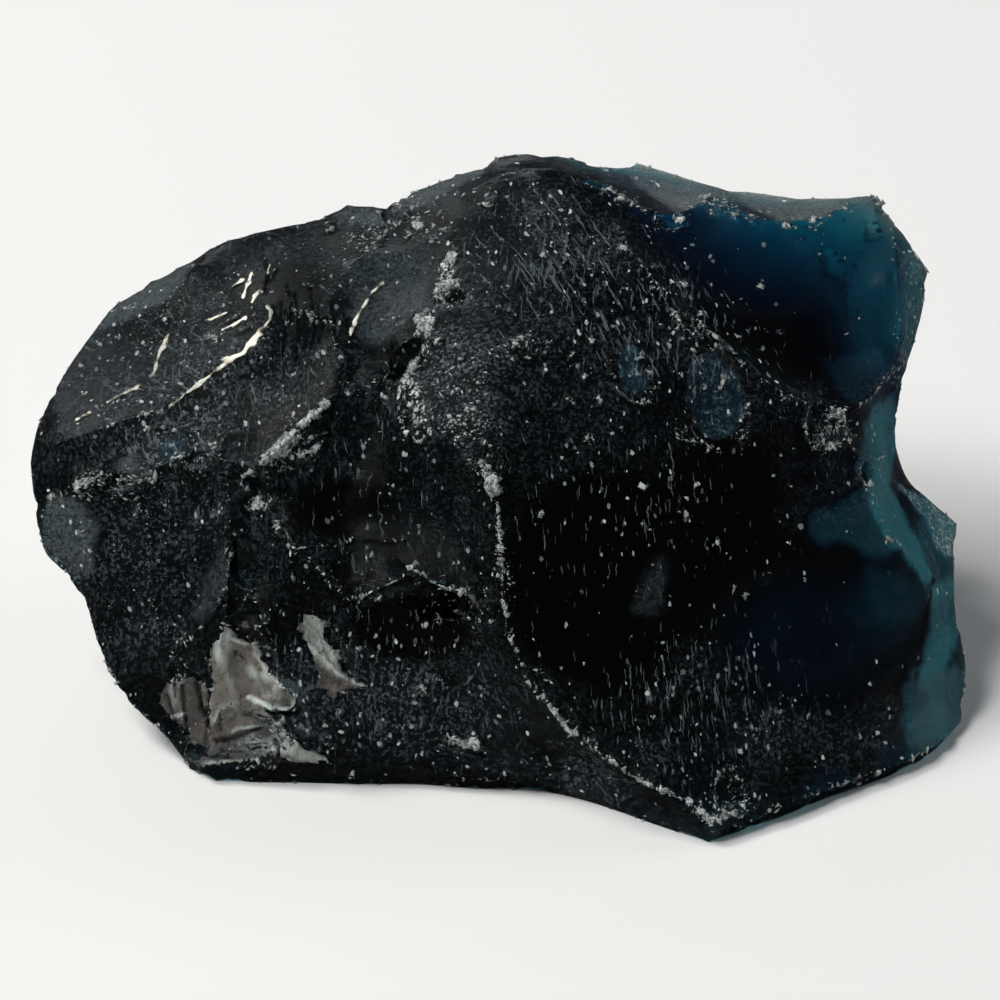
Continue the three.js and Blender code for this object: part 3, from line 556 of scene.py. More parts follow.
CHIP_SPOTS: tuple[Stroke, ...] = tuple(
    # White chips that lie alone: across, up, half width, whiteness.
    raised(size, 0.2, crush, (across, up))
    for across, up, size, crush in (
        (-17, 27.2, 0.7, 0.8), (-8.2, 27.5, 0.8, 0.9), (-33.6, 18, 0.6, 0.7),
        (-6.8, 25.9, 0.5, 0.8), (-9.2, 26.6, 0.5, 0.6), (-4.8, 24.4, 0.8, 0.8),
        (9, 6, 0.75, 1), (10.6, 21.5, 0.5, 0.7), (18.3, 21.4, 0.6, 0.9),
        (26.1, 21.3, 0.45, 0.9), (12.4, 25.1, 0.5, 0.8), (-1.1, 29.6, 0.8, 0.6),
        (3.4, 31.9, 0.8, 0.7), (4.1, 28.5, 0.6, 0.6), (-4, 14.2, 0.6, 0.4),
        (1.7, 15.8, 0.7, 0.8), (6.9, 9.9, 0.8, 0.5), (4.6, 12.9, 0.45, 0.6),
        (-7.6, 18, 1.3, 0.8), (-4.6, 21.6, 0.9, 0.7), (-5.6, 23.4, 0.6, 0.6),
        (-7.8, -19, 0.75, 0.8), (-2.6, -24.4, 1.1, 0.75), (-4.6, -23.8, 0.9, 0.7),
        (-16, -21.4, 0.6, 0.6), (-24, -0.5, 0.8, 0.8), (-22.2, -2.7, 0.5, 0.8),
        (17.6, -19.4, 0.4, 1), (-12.8, -15.6, 0.5, 0.7), (-6, -17.8, 0.5, 0.5),
        (36.9, 3.2, 0.6, 0.8), (37.9, 4, 0.5, 0.6), (19.6, 1.5, 0.3, 0.9),
        (15.5, -0.6, 0.35, 0.7), (18, -1.2, 0.35, 0.8), (15, -3, 0.35, 0.8),
        (24.4, 6.3, 0.3, 1), (28, 16.6, 0.4, 0.9), (30, 25.8, 0.6, 0.4),
        (16.4, -9.4, 0.4, 0.8), (26.5, -8.2, 0.35, 0.9), (29, 1.4, 0.3, 0.7),
        (-0.9, -2.8, 0.5, 0.6), (4.1, -1.2, 0.4, 0.7), (11.4, 18.8, 0.3, 0.7),
        (10.8, 30.8, 0.9, 0.8), (12, 30, 0.6, 0.7), (18, 28, 0.8, 0.9),
        (20.4, 30, 0.6, 0.7), (22, 29, 0.6, 0.7), (23.6, 28.4, 0.5, 0.8),
        (25.4, 28, 0.5, 0.6), (28.6, 27.4, 0.5, 0.8), (31.4, 27.9, 0.6, 0.8),
        (34.6, 29.2, 0.5, 0.8), (-14.4, 27.8, 0.5, 0.6), (-12.2, 26, 0.7, 0.5),
        (15.7, 23.2, 0.5, 0.6), (9.2, 16, 0.5, 0.8), (7.3, 14.5, 0.4, 0.8),
        (8.5, 12.3, 0.45, 0.7), (9.8, 10.2, 0.45, 0.7), (14.2, 14.5, 0.35, 0.8),
        (15, 12.7, 0.35, 0.8), (24, 16.2, 0.25, 0.9), (20, 18.5, 0.3, 0.8),
        (17.7, 17.5, 0.4, 0.7), (18.3, 16, 0.4, 0.7), (19.3, 15, 0.4, 0.7),
        (20.2, 13.8, 0.8, 0.5), (22, 11.3, 0.4, 0.9), (24, 8, 0.4, 1),
        (23.3, -8.7, 0.35, 0.9), (24.4, -9.5, 0.45, 0.9), (28.8, -4.3, 0.35, 0.8),
        (38.8, -3.9, 0.35, 1), (30.4, -8, 0.3, 0.8), (36.9, -18.4, 0.28, 1),
        (25.5, -19.3, 0.3, 0.9), (14.4, 1.3, 0.35, 0.8), (16.3, -2.5, 0.35, 0.8),
        (20, -0.2, 0.3, 0.8), (14, -2.9, 0.3, 0.7), (10.8, -2.1, 0.3, 0.7),
    )
)

STROKES: tuple[Stroke, ...] = GLINT_STEPS + HACKLE + LIPS + FLAKES + KEEL_LINE + CHIP_SPOTS

def zones(*rows: tuple[float, ...]) -> tuple[Zone, ...]:
    """Zones from rows of their values."""
    return tuple(Zone(*row) for row in rows)


ZONES: dict[Field, tuple[Zone, ...]] = {
    # Grey dust and fine abrasion.
    Field.VEIL: zones(
        (-31, 12, 18, 15, 0.28), (-33, 12, 9, 8, 0.1), (-19, 24, 6, 5, 0.25), (2, 24, 14, 11, 0.16),
        (-4, 11, 8, 8, 0.55), (-12, -20, 17, 8, 0.36), (-36, -6, 10, 13, 0.34), (-44, -6, 3.6, 7, 1.1),
        (-15.5, -1, 6, 4, -0.3), (12, -26, 9, 5, 0.2), (32, -23, 14, 5, 0.2),
        (6, -28, 10, 2.6, 0.4, -14), (10, -8, 13, 14, -0.42), (22, 0, 8, 8, -0.35),
        (31, 20, 14, 10, -0.6), (30, -10, 13, 9, -0.38), (-9, -13, 7, 4, -0.7),
        (-11.8, 20, 4, 5, 0.5, -30),
    ),
    # Crushed, whitened glass.
    Field.CRUSH: zones(
        (-5.4, 22, 1.8, 4.2, 0.62, -8), (-7.6, 17.8, 1.8, 1.8, 0.8), (-8.4, 9.6, 1.6, 4.6, 0.7, 12),
        (-3.4, 7.4, 4.6, 2.6, 0.55), (-4, 12, 5, 4, 0.4), (9, 33, 8, 1.8, -0.6, -14),
        (-13, 26.5, 5, 2.4, 0.42, 24), (2, 15, 5, 2.2, 0.36), (-1.2, 2, 1.4, 2.6, 0.55),
        (33.2, 7.6, 3.2, 3.2, 0.5), (21.6, -30.6, 3.4, 2.2, 0.5), (12, 30.4, 3, 1.4, 0.3, -20),
        (22, 29.6, 3.4, 1.6, 0.42, -15), (-21.4, 5.4, 3.6, 1.3, 0.8, 38), (-24, -0.4, 1.6, 1.2, 0.45),
        (-41.5, 1, 3, 1.4, 0.42), (-26, 20, 4, 4, 0.2), (-19, 20, 5, 9, 0.14),
        (-35, 14, 9, 8, 0.12), (-8, 28, 5, 3, 0.28), (20.5, 12, 1.2, 2, 0.35, 20),
        (-3.4, -24.4, 2.6, 0.9, 0.45, -20), (5, 17, 6, 3, 0.16), (17, 19, 7, 3, 0.2, -38),
    ),
    # Painted shade: dark patches above the brow and beside the bright steps, which also hide the
    # glass's reflections there.
    Field.SLIT: zones(
        (-9, -5, 9, 6, 0.72, -8, 0.2), (-20, 20, 5.5, 11, 0.72, 0, 0.25),
        (-36, 14, 9, 7, 0.34, 0, 0.2),
    ),
    # Bluish bruises, where the glass is starred below its skin.
    Field.FROST: zones((-33, 5.4, 2.2, 1.8, 0.5, 30), (-18.8, 5.5, 1.5, 0.9, 0.6, 40)),
    # Painted teal light: colour painted where the glass is thin, in place of light shining through it
    # from behind.
    Field.GLOW: zones(
        (38, 20, 5.5, 10, 0.34, -8), (41.5, 17, 2.4, 12, 0.5), (38.4, 6, 2.4, 6.5, 0.35, 8),
        (41, -3, 4, 5, 0.15, 40), (43.5, -5, 2.6, 7, 0.5, 8), (39, -10, 6, 7, 0.16),
        (31, -14, 12, 9, 0.12), (44.2, -17, 2.4, 7, 0.3, -6), (43.5, -22.5, 3.4, 3.2, 0.3),
        (24, 24, 10, 6, 0.1, -20),
    ),
    # Hairline scratches and short ticks.
    Field.SCORE: zones(
        (14, 18, 18, 10, 0.8, -30), (12, 0, 16, 12, 0.45), (20, -20, 14, 10, 0.9), (2, 26, 12, 9, 0.7),
        (-30, 8, 16, 14, 0.5), (-12, -18, 16, 10, 0.7), (-14, 2, 12, 12, 0.3), (-19, 18, 6, 10, 0.7),
        (-36, 14, 9, 8, 0.5), (-9, -5, 8, 6, 0.5), (33, 20, 12, 9, -0.2),
    ),
}


@dataclass(frozen=True)
class Patch:
    """A hard-edged patch of the front where one mask is stronger or weaker.

    Attributes:
        mask: The mask.
        amount: What the patch adds to it.
        outline: The patch's corners in order, across and up.
    """

    mask: Field
    amount: float
    outline: tuple[Pair, ...]


PATCHES: tuple[Patch, ...] = (
    # Pale crust left on the lower west corner.
    Patch(Field.CRUST, 0.9, (
        (-27.2, -12.4), (-26.2, -14), (-24.5, -14), (-24, -16.1), (-22.4, -17.9), (-21.4, -18.9),
        (-20.1, -20), (-20.4, -20.6), (-21.9, -21), (-23.5, -20.5), (-23, -21.6), (-21.9, -22.3),
        (-21.1, -23.4), (-19.3, -25), (-17.1, -26.1), (-19.3, -26.3), (-21.9, -25.7), (-24.5, -26),
        (-27.2, -26.3), (-30.3, -26.8), (-31.3, -25.7), (-31.1, -23.4), (-32.4, -22.1), (-34, -20.2),
        (-33.4, -18.1), (-31.1, -17.6), (-29.7, -18.4), (-29, -20.4), (-28.6, -18.8), (-29, -15.5),
        (-28.2, -14),
    )),
    Patch(Field.CRUST, 0.9, (
        (-20, -12.1), (-18.8, -11.4), (-17.9, -12.7), (-17.7, -13.7), (-16.4, -15), (-15.7, -17.1),
        (-14.1, -18.2), (-13.2, -18.8), (-15.7, -18.9), (-16.7, -20), (-18, -18.4), (-17.7, -17.4),
        (-18.8, -16.1), (-19.1, -14.2), (-19.8, -12.9),
    )),
    # Its smooth heart, and the broken flakes west of it.
    Patch(Field.CRUST, 0.4, (
        (-28.2, -14.8), (-29, -16), (-28.9, -18.2), (-29, -20.8), (-29.1, -23), (-27.5, -23.8),
        (-26.5, -23), (-24.5, -22.5), (-25, -20.8), (-24.2, -20), (-24.5, -18.2), (-24.2, -16.2),
        (-24.5, -14), (-26.2, -13.8), (-27.5, -14.8),
    )),
    Patch(Field.CRUST, -0.3, (
        (-34.8, -18), (-32.5, -16.8), (-30.5, -17.6), (-29.5, -20), (-29.8, -24), (-29.2, -25.6),
        (-31.4, -26.4), (-33.5, -23.2), (-35, -20.6),
    )),
    # The crust is broken through low down.
    Patch(Field.CRUST, -0.36, (
        (-31, -24.4), (-28.6, -24.6), (-27.2, -23.6), (-25.2, -23.2), (-23.6, -21.4), (-21.6, -22.4),
        (-20.6, -24.2), (-22.6, -25.8), (-27, -26), (-31.4, -26.9),
    )),
    # Painted shade: a dark band painted along the foot.
    Patch(Field.SLIT, 0.7, (
        (-30, -26.9), (-20, -26.8), (-5, -26.6), (6, -28), (6, -29.6), (-8, -28.8), (-30, -29),
    )),
    # Small flat scars: a brown one on the main face, and a row on the broken step.
    Patch(Field.DULL, 0.12, ((16.3, -5.3), (14.6, -7.8), (12.9, -11), (16, -11.4), (16.4, -8))),
    Patch(Field.FROST, 0.5, ((-34.2, 5.6), (-31.6, 6.8), (-31, 4.6), (-33.2, 3.4))),
    Patch(Field.DULL, 0.45, ((-38.6, 3.8), (-36.6, 4.6), (-36.3, 1.4), (-38, 0.8))),
    Patch(Field.DULL, 0.4, ((-30.6, 5.6), (-28.6, 6), (-28.2, 4.4), (-30.4, 4.4))),
    Patch(Field.DULL, 0.14, ((-29.6, -7.6), (-27.4, -4), (-27.2, -9), (-29.2, -11.6), (-31, -12.4))),
    # Bruises below the dome.
    Patch(Field.FROST, 0.75, (
        (19.5, 14.2), (20.8, 14.8), (22.2, 14.2), (23.5, 13), (24.5, 11.2), (24.7, 9.5), (24.2, 8),
        (23.5, 6.8), (22.2, 6), (20.8, 6.5), (19.8, 7.5), (19, 9.2), (18.6, 11.2), (18.8, 13),
    )),
    Patch(Field.FROST, 1.5, (
        (12.2, 15.3), (13.2, 15.7), (13.8, 14.7), (13.5, 13.3), (14.8, 12.3), (14.8, 10.8),
        (13.7, 10.5), (12.7, 11), (11.7, 13.3), (11.8, 14.7),
    )),
    # Dulled bevels along the rim.
    Patch(Field.DULL, 0.75, (
        (12, 33.5), (16, 33.2), (20, 32.4), (26, 31.4), (32, 31.2), (38, 31.4), (38, 30.4), (36, 30.2),
        (33.5, 29), (30.5, 27.9), (28, 28), (26, 28.8), (23.5, 30), (21.5, 30.3), (20, 29.4), (18, 29),
        (16.5, 29.8), (14.5, 31),
    )),
    Patch(Field.DULL, 0.16, ((1, 35.5), (8, 35.5), (12, 34.6), (13, 31), (10.6, 32), (6, 33.4))),
    Patch(Field.DULL, 0.4, (
        (-17.4, 29), (-10.4, 31.4), (-4.9, 33.6), (0.8, 35.4), (-1.8, 32.6), (-6, 30.2), (-11.6, 27.4),
        (-15, 27.4),
    )),
    Patch(Field.DULL, 0.42, ((-40.4, 19), (-29.6, 25), (-33.4, 19.9), (-40, 16.8))),
    # Dulled flats on the west end and beside the crescent.
    Patch(Field.DULL, 0.48, (
        (-45.5, 0), (-42.5, 0.5), (-40.5, -2), (-41, -7.5), (-43, -7), (-45.6, -4.5),
    )),
    Patch(Field.DULL, 0.22, (
        (-15.5, 23.8), (-12, 25), (-6.8, 24.5), (-7.5, 20), (-10, 17), (-12, 15.5), (-14, 15.5),
        (-15, 20),
    )),
    # Facets of the thin east edge: teal light painted on them, dust patches that pale it, and dulled
    # patches.
    Patch(Field.GLOW, 1, (
        (36.5, 3.2), (38.5, 3.6), (39.2, 0.9), (40.8, -2.5), (43.1, -7.2), (42.7, -8.7), (40.4, -5.6),
        (38.5, -3.3), (37.3, -0.6),
    )),
    Patch(Field.GLOW, 0.6, ((35.3, 3), (37, 9), (39.5, 11), (40.3, 6), (39, 3))),
    Patch(Field.GLOW, 1.1, (
        (39.6, 1.7), (43.8, -0.6), (46, -2.5), (45.8, -6), (43.8, -4.8), (42.7, -1.8), (40.8, 0.2),
    )),
    Patch(Field.VEIL, 2.1, (
        (39.6, 1.7), (43.8, -0.6), (46, -2.5), (45.8, -6), (43.8, -4.8), (42.7, -1.8), (40.8, 0.2),
    )),
    Patch(Field.VEIL, 0.7, (
        (39.6, 26), (41.6, 24.6), (42.8, 23.2), (42.4, 19), (41.4, 14), (40.4, 10.6), (39.2, 11),
        (40, 15), (40.6, 19.5), (40, 23.2),
    )),
    Patch(Field.GLOW, 0.42, (
        (30.8, -1.5), (34.6, 0.2), (36.5, 1.7), (38.5, -1), (39.6, -4.5), (37.5, -6), (34.8, -4.2),
        (32.6, -4.6), (31, -3.6),
    )),
    Patch(Field.GLOW, 0.15, ((36.5, -6.4), (43.1, -8.7), (41.9, -12.1), (38.5, -12.1), (36.9, -9.5))),
    Patch(Field.GLOW, 0.7, (
        (43.1, -8.7), (45.4, -7.5), (46.2, -12.5), (45, -16), (42.7, -19.1), (41.9, -18.7),
        (42.7, -13.3),
    )),
    Patch(Field.GLOW, 0.6, (
        (41.1, -16.8), (46.8, -16.8), (46.6, -22), (44, -24.8), (40.5, -25.2), (40, -21.5),
    )),
    Patch(Field.DULL, 0.3, (
        (41.1, -17.6), (46.8, -16.8), (46.6, -22), (44, -24.8), (40.8, -25.2), (41.2, -21.5),
    )),
    Patch(Field.GLOW, 0.2, ((32.7, 14), (38, 15), (40, 12.5), (38, 10.5), (35.7, 9.3), (33.5, 10.5))),
    Patch(Field.DULL, 0.12, ((32.7, 14), (38, 14), (39, 12.5), (38, 10.5), (35.7, 9.3), (33.5, 10.5))),
)


# ---- Skin ------------------------------------------------


@dataclass
class Skin:
    """A closed triangle mesh in millimetres, refined and eased with its ridges kept.

    Attributes:
        points: Vertices, one a row.
        faces: Triangles, as three vertex numbers a row.
        ridges: Ridge edges, as two vertex numbers a row.
    """

    points: Array
    faces: Array
    ridges: Array = field(default_factory=lambda: np.zeros((0, 2), dtype=np.int64))

    @classmethod
    def of_node(cls, node: bpy.types.Object, weld: float) -> "Skin":
        """The skin of one solid of the frame.

        Args:
            node: The solid's object.
            weld: Vertices closer than this are one, in millimetres.

        Returns:
            The skin, with no ridges marked yet.
        """
        mesh = bmesh.new()
        mesh.from_mesh(node.data)
        bmesh.ops.remove_doubles(mesh, verts=mesh.verts, dist=weld * MM)
        bmesh.ops.dissolve_degenerate(mesh, edges=mesh.edges, dist=weld * MM)
        bmesh.ops.triangulate(mesh, faces=mesh.faces)
        mesh.verts.index_update()
        points = np.array([vertex.co for vertex in mesh.verts]) / MM
        faces = np.array([[v.index for v in face.verts] for face in mesh.faces])
        mesh.free()
        return cls(points, faces)

    def sides(self) -> tuple[Array, Array]:
        """Every edge once, and which edges each triangle has.

        Returns:
            Edges as two vertex numbers a row, and three edge numbers for each triangle.
        """
        ends = np.sort(self.faces[:, [0, 1, 1, 2, 2, 0]].reshape(-1, 2), axis=1)
        keys = ends[:, 0] * len(self.points) + ends[:, 1]
        unique, number = np.unique(keys, return_inverse=True)
        edges = np.stack([unique // len(self.points), unique % len(self.points)], axis=1)
        return edges, number.reshape(-1, 3)

    def face_normals(self) -> Array:
        """Each triangle's normal, as long as twice its area."""
        a, b, c = (self.points[self.faces[:, i]] for i in range(3))
        return np.cross(b - a, c - a)

    def normals(self) -> Array:
        """Unit normals at the vertices."""
        total = self.gather(self.faces.ravel(), np.repeat(self.face_normals(), 3, axis=0))
        return total / (np.linalg.norm(total, axis=1, keepdims=True) + TINY)

    def gather(self, targets: Array, values: Array) -> Array:
        """Sums rows of values into the vertices that targets name."""
        count = len(self.points)
        columns = [np.bincount(targets, values[:, i], count) for i in range(values.shape[1])]
        return np.stack(columns, axis=1)

    def mark_ridges(self, sharpest: float) -> None:
        """Marks as ridges the edges whose two faces meet at more than an angle.

        Args:
            sharpest: That angle, in degrees.
        """
        edges, sides = self.sides()
        normals = self.face_normals()
        normals /= np.linalg.norm(normals, axis=1, keepdims=True) + TINY
        order = np.argsort(sides.ravel(), kind="stable")
        owners = (order // 3).reshape(-1, 2)
        cosine = np.einsum("ij,ij->i", normals[owners[:, 0]], normals[owners[:, 1]])
        self.ridges = edges[cosine < math.cos(math.radians(sharpest))]

    def ease_skin(self, rounds: int, forward: float = 0.5, back: float = -0.53) -> None:
        """Takes the facets out of the skin, while ridges only ease along themselves.

        Args:
            rounds: How many times the skin is eased.
            forward: Share of the way to its neighbours' middle that a vertex moves.
            back: Share that it moves back, so that the skin doesn't shrink.
        """
        edges, _ = self.sides()
        on_ridge = np.bincount(self.ridges.ravel(), minlength=len(self.points))
        both = np.concatenate([edges, edges[:, ::-1]])
        both = both[on_ridge[both[:, 0]] == 0]
        along = np.concatenate([self.ridges, self.ridges[:, ::-1]])
        along = along[on_ridge[along[:, 0]] == 2]
        links = np.concatenate([both, along])
        count = np.bincount(links[:, 0], minlength=len(self.points))
        moving = count > 0
        for _ in range(rounds):
            for share in (forward, back):
                middle = self.gather(links[:, 0], self.points[links[:, 1]])
                middle[moving] /= count[moving, None]
                self.points[moving] += share * (middle - self.points)[moving]

    def blurred(self, values: Array, rounds: int) -> Array:
        """Values at the vertices, evened out between neighbours.

        Args:
            values: One value a vertex.
            rounds: How many times they are evened out.

        Returns:
            The new values.
        """
        edges, _ = self.sides()
        both = np.concatenate([edges, edges[:, ::-1]])
        count = np.bincount(both[:, 0], minlength=len(self.points))
        for _ in range(rounds):
            total = np.bincount(both[:, 0], weights=values[both[:, 1]], minlength=len(self.points))
            values = 0.5 * (values + total / count)
        return values

    def split(self, wanted: Array, edges: Array, sides: Array) -> None:
        """Halves the wanted edges.

        Args:
            wanted: True for each edge that is split.
            edges: Every edge.
            sides: Three edge numbers for each triangle.
        """
        count = len(self.points)
        middle = np.full(len(edges), -1)
        middle[wanted] = count + np.arange(wanted.sum())
        keys = edges[:, 0] * count + edges[:, 1]
        ends = np.sort(self.ridges, axis=1)
        ridge_number = np.searchsorted(keys, ends[:, 0] * count + ends[:, 1])
        cut = middle[ridge_number]
        whole, halved = self.ridges[cut < 0], self.ridges[cut >= 0]
        between = cut[cut >= 0][:, None]
        self.ridges = np.concatenate(
            [whole, np.hstack([halved[:, :1], between]), np.hstack([between, halved[:, 1:]])]
        )
        self.points = np.concatenate([self.points, self.points[edges[wanted]].mean(axis=1)])
        self.faces = self.split_faces(middle[sides])

    def split_faces(self, middles: Array) -> Array:
        """The triangles that stand for the old ones once some sides are halved.

        Args:
            middles: For each triangle side, its middle vertex, or -1.

        Returns:
            The new triangles.
        """
        halved = middles >= 0
        count = halved.sum(axis=1)
        made = [self.faces[count == 0]]
        for turn in range(3):
            order = [(turn + i) % 3 for i in range(3)]
            corners, middle, is_cut = self.faces[:, order], middles[:, order], halved[:, order]
            one = (count == 1) & is_cut[:, 0]
            a, b, c = corners[one].T
            ab = middle[one][:, 0]
            made += [np.stack(t, axis=1) for t in ((a, ab, c), (ab, b, c))]
            two = (count == 2) & ~is_cut[:, 2]
            a, b, c = corners[two].T
            ab, bc = middle[two][:, 0], middle[two][:, 1]
            made += [np.stack(t, axis=1) for t in ((ab, b, bc), (a, ab, bc), (a, bc, c))]
        full = count == 3
        a, b, c = self.faces[full].T
        ab, bc, ca = middles[full].T
        made += [np.stack(t, axis=1) for t in ((a, ab, ca), (ab, b, bc), (ca, bc, c), (ab, bc, ca))]
        return np.concatenate(made)

    def ridge_gap(self, places: Array) -> Array:
        """How far places are from the nearest ridge vertex.

        Args:
            places: Points in millimetres, one a row.

        Returns:
            One distance a place.
        """
        numbers = np.unique(self.ridges)
        tree = KDTree(len(numbers))
        for number in numbers:
            tree.insert(self.points[number], int(number))
        tree.balance()
        return np.array([tree.find(place)[2] for place in places])


def near(stroke: Stroke, places: Array, margin: float) -> Array:
    """Numbers of the places in a box round a stroke.

    Args:
        stroke: The stroke.
        places: Points across and up, one a row.
        margin: How far the box stands off the stroke's path.

    Returns:
        The rows inside the box.
    """
    path = np.array(stroke.path)
    above = (places > path.min(axis=0) - margin).all(axis=1)
    below = (places < path.max(axis=0) + margin).all(axis=1)
    return np.flatnonzero(above & below)


# ---- Materials -------------------------------------------


class Graph:
    """Adds nodes to one node tree and joins them up."""

    def __init__(self, tree: Tree) -> None:
        """Takes the tree and empties it."""
        self.tree = tree
        tree.nodes.clear()

    def add(self, kind: str, inputs: Optional[dict] = None, **settings: object) -> bpy.types.Node:
        """Adds one node.

        Args:
            kind: The node's type, without its ShaderNode prefix.
            inputs: What goes into its sockets, by name or number.
            settings: The node's own properties.

        Returns:
            The node.
        """
        prefix = "" if kind.startswith("Node") else "ShaderNode"
        node = self.tree.nodes.new(prefix + kind)
        for name, value in settings.items():
            setattr(node, name, value)
        for name, value in (inputs or {}).items():
            self.feed(node.inputs[name], value)
        return node

    def feed(self, socket: Socket, value: object) -> None:
        """Joins a socket to another one, or sets it to a plain value."""
        if isinstance(value, Socket):
            self.tree.links.new(value, socket)
        else:
            socket.default_value = value

    def math(self, operation: str, *values: object, clamp: bool = False) -> Socket:
        """The outcome of one sum of sockets or numbers, kept between 0 and 1 if clamped."""
        node = self.add("Math", dict(enumerate(values)), operation=operation, use_clamp=clamp)
        return node.outputs[0]

    def times(self, first: object, second: object, clamp: bool = False) -> Socket:
        """Two values multiplied."""
        return self.math("MULTIPLY", first, second, clamp=clamp)

    def line(self, value: object, slope: object, start: object) -> Socket:
        """A value times a slope, and a start added."""
        return self.math("MULTIPLY_ADD", value, slope, start)

    def vector_math(self, operation: str, *values: object) -> Socket:
        """The outcome of one sum of sockets or vectors."""
        return self.add("VectorMath", dict(enumerate(values)), operation=operation).outputs[0]

    def scaled(self, vector: object, factor: object) -> Socket:
        """A vector times a factor."""
        return self.add("VectorMath", {0: vector, "Scale": factor}, operation="SCALE").outputs[0]

    def step(self, value: object, low: object, high: object) -> Socket:
        """A smooth step of a value: 0 below low and 1 above high."""
        inputs = {"Value": value, "From Min": low, "From Max": high}
        return self.add("MapRange", inputs, interpolation_type="SMOOTHSTEP").outputs[0]

    def noise(self, place: object, scale: float, detail: float, roughness: float) -> Socket:
        """Smooth noise from 0 to 1: swells to a millimetre, finer sizes and their strength."""
        inputs = {"Vector": place, "Scale": scale, "Detail": detail, "Roughness": roughness}
        return self.add("TexNoise", inputs).outputs[0]

    def turned(self, place: object, angle: object) -> Socket:
        """A place turned about the way out of the front."""
        inputs = {"Vector": place, "Angle": angle}
        return self.add("VectorRotate", inputs, rotation_type="Z_AXIS").outputs[0]

    def group(self, tree: Tree, **inputs: object) -> Socket:
        """The mask that a node group gives for its inputs."""
        return self.add("Group", inputs, node_tree=tree).outputs["Mask"]

    def mask(self, name: Field) -> Socket:
        """One of the skin's own masks."""
        return self.add("Attribute", attribute_name=name.value).outputs["Fac"]

    def blend(self, share: object, first: object, second: object) -> Socket:
        """A colour between two others.

        Args:
            share: How much of the second colour there is.
            first: The colour at 0.
            second: The colour at 1.

        Returns:
            The colour's socket.
        """
        node = self.add("Mix", data_type="RGBA")
        for number, value in ((0, share), (6, first), (7, second)):
            self.feed(node.inputs[number], value)
        return node.outputs[2]

    def place(self) -> Socket:
        """Places on the surface in millimetres, turned so that the front plane is upright."""
        own = self.add("TexCoord").outputs["Object"]
        turn = (math.radians(FRONT.lean), 0.0, 0.0)
        return self.add("Mapping", {"Vector": own, "Rotation": turn, "Scale": (1 / MM,) * 3}).outputs[0]


def new_group(name: str, inputs: dict[str, str], outputs: dict[str, str]) -> tuple[Graph, dict, dict]:
    """An empty shader node group with named sockets.

    Args:
        name: The group's name.
        inputs: Socket type for each input's name.
        outputs: Socket type for each output's name.

    Returns:
        The group's graph, its input sockets and its output sockets.
    """
    tree = bpy.data.node_groups.new(name, "ShaderNodeTree")
    graph = Graph(tree)
    for direction, sockets in (("INPUT", inputs), ("OUTPUT", outputs)):
        for socket, kind in sockets.items():
            tree.interface.new_socket(socket, in_out=direction, socket_type="NodeSocket" + kind)
    start, end = graph.add("NodeGroupInput"), graph.add("NodeGroupOutput")
    return graph, start.outputs, end.inputs


def grit_group(start: float = 0.76, reach: float = 0.36, edge: float = 0.05) -> Tree:
    """Crushed grains with hard edges.

    Args:
        start: The grain's level that counts as crushed at no amount.
        reach: How far the full amount lowers that level.
        edge: How soft a grain's edge is.

    Returns:
        The node group.
    """
    inputs = {"Grain": "Float", "Amount": "Float"}
    graph, given, made = new_group("crushed_grit", inputs, {"Mask": "Float"})
    level = graph.line(given["Amount"], -reach, start)
    graph.feed(made["Mask"], graph.step(given["Grain"], level, graph.math("ADD", level, edge)))
    return graph.tree


def knock_group(
    size: Pair = (0.14, 0.3), rarity: Pair = (2.0, 1.5), core: float = 0.6, palest: Pair = (0.2, 0.8)
) -> Tree:
    """Little knocks, pale and hard-edged, that lie roughly one way.

    Args:
        size: The least size of a knock, as a share of its cell, and what the largest adds.
        rarity: How rare large knocks are, and how rare pale ones are.
        core: The share of a knock that is full.
        palest: The least paleness, and what the palest adds.

    Returns:
        The node group.
    """
    inputs = {"Place": "Vector", "Turn": "Float", "Cells": "Vector", "Amount": "Float"}
    graph, given, made = new_group("little_knocks", inputs, {"Mask": "Float"})
    turned = graph.turned(given["Place"], given["Turn"])
    squeezed = graph.vector_math("MULTIPLY", turned, given["Cells"])
    cells = graph.add("TexVoronoi", {"Vector": squeezed, "Scale": 1.0, "Randomness": 1.0})
    spread = graph.add("SeparateColor", {"Color": cells.outputs["Color"]}).outputs
    drawn = graph.math("POWER", spread["Green"], rarity[0])
    reach = graph.line(drawn, size[1], size[0])
    within = graph.step(cells.outputs["Distance"], reach, graph.times(reach, core))
    chosen = graph.math("LESS_THAN", spread["Red"], given["Amount"])
    drawn = graph.math("POWER", spread["Blue"], rarity[1])
    paleness = graph.line(drawn, palest[1], palest[0])
    graph.feed(made["Mask"], graph.times(graph.times(within, chosen), paleness))
    return graph.tree


def scratch_group(
    drawn_out: Triple = (0.16, 4.2, 0.4), start: float = 0.76, reach: float = 0.12, edge: float = 0.04
) -> Tree:
    """Hairline scratches that run roughly one way.

    Args:
        drawn_out: Swells to a millimetre of the noise that they come from, each way.
        start: The noise's level that counts as a scratch at no amount.
        reach: How far the full amount lowers that level.
        edge: How soft a scratch's edge is.

    Returns:
        The node group.
    """
    inputs = {"Place": "Vector", "Turn": "Float", "Amount": "Float"}
    graph, given, made = new_group("hair_scratches", inputs, {"Mask": "Float"})
    drawn = graph.vector_math("MULTIPLY", graph.turned(given["Place"], given["Turn"]), drawn_out)
    lines = graph.noise(drawn, 1.0, 1.0, 0.5)
    level = graph.line(given["Amount"], -reach, start)
    graph.feed(made["Mask"], graph.step(lines, level, graph.math("ADD", level, edge)))
    return graph.tree


@dataclass(frozen=True)
class Effects:
    """The node groups that the lump and its crumbs share.

    Attributes:
        grit: Crushed grains.
        knocks: Little knocks.
        scratches: Hairline scratches.
    """

    grit: Tree
    knocks: Tree
    scratches: Tree


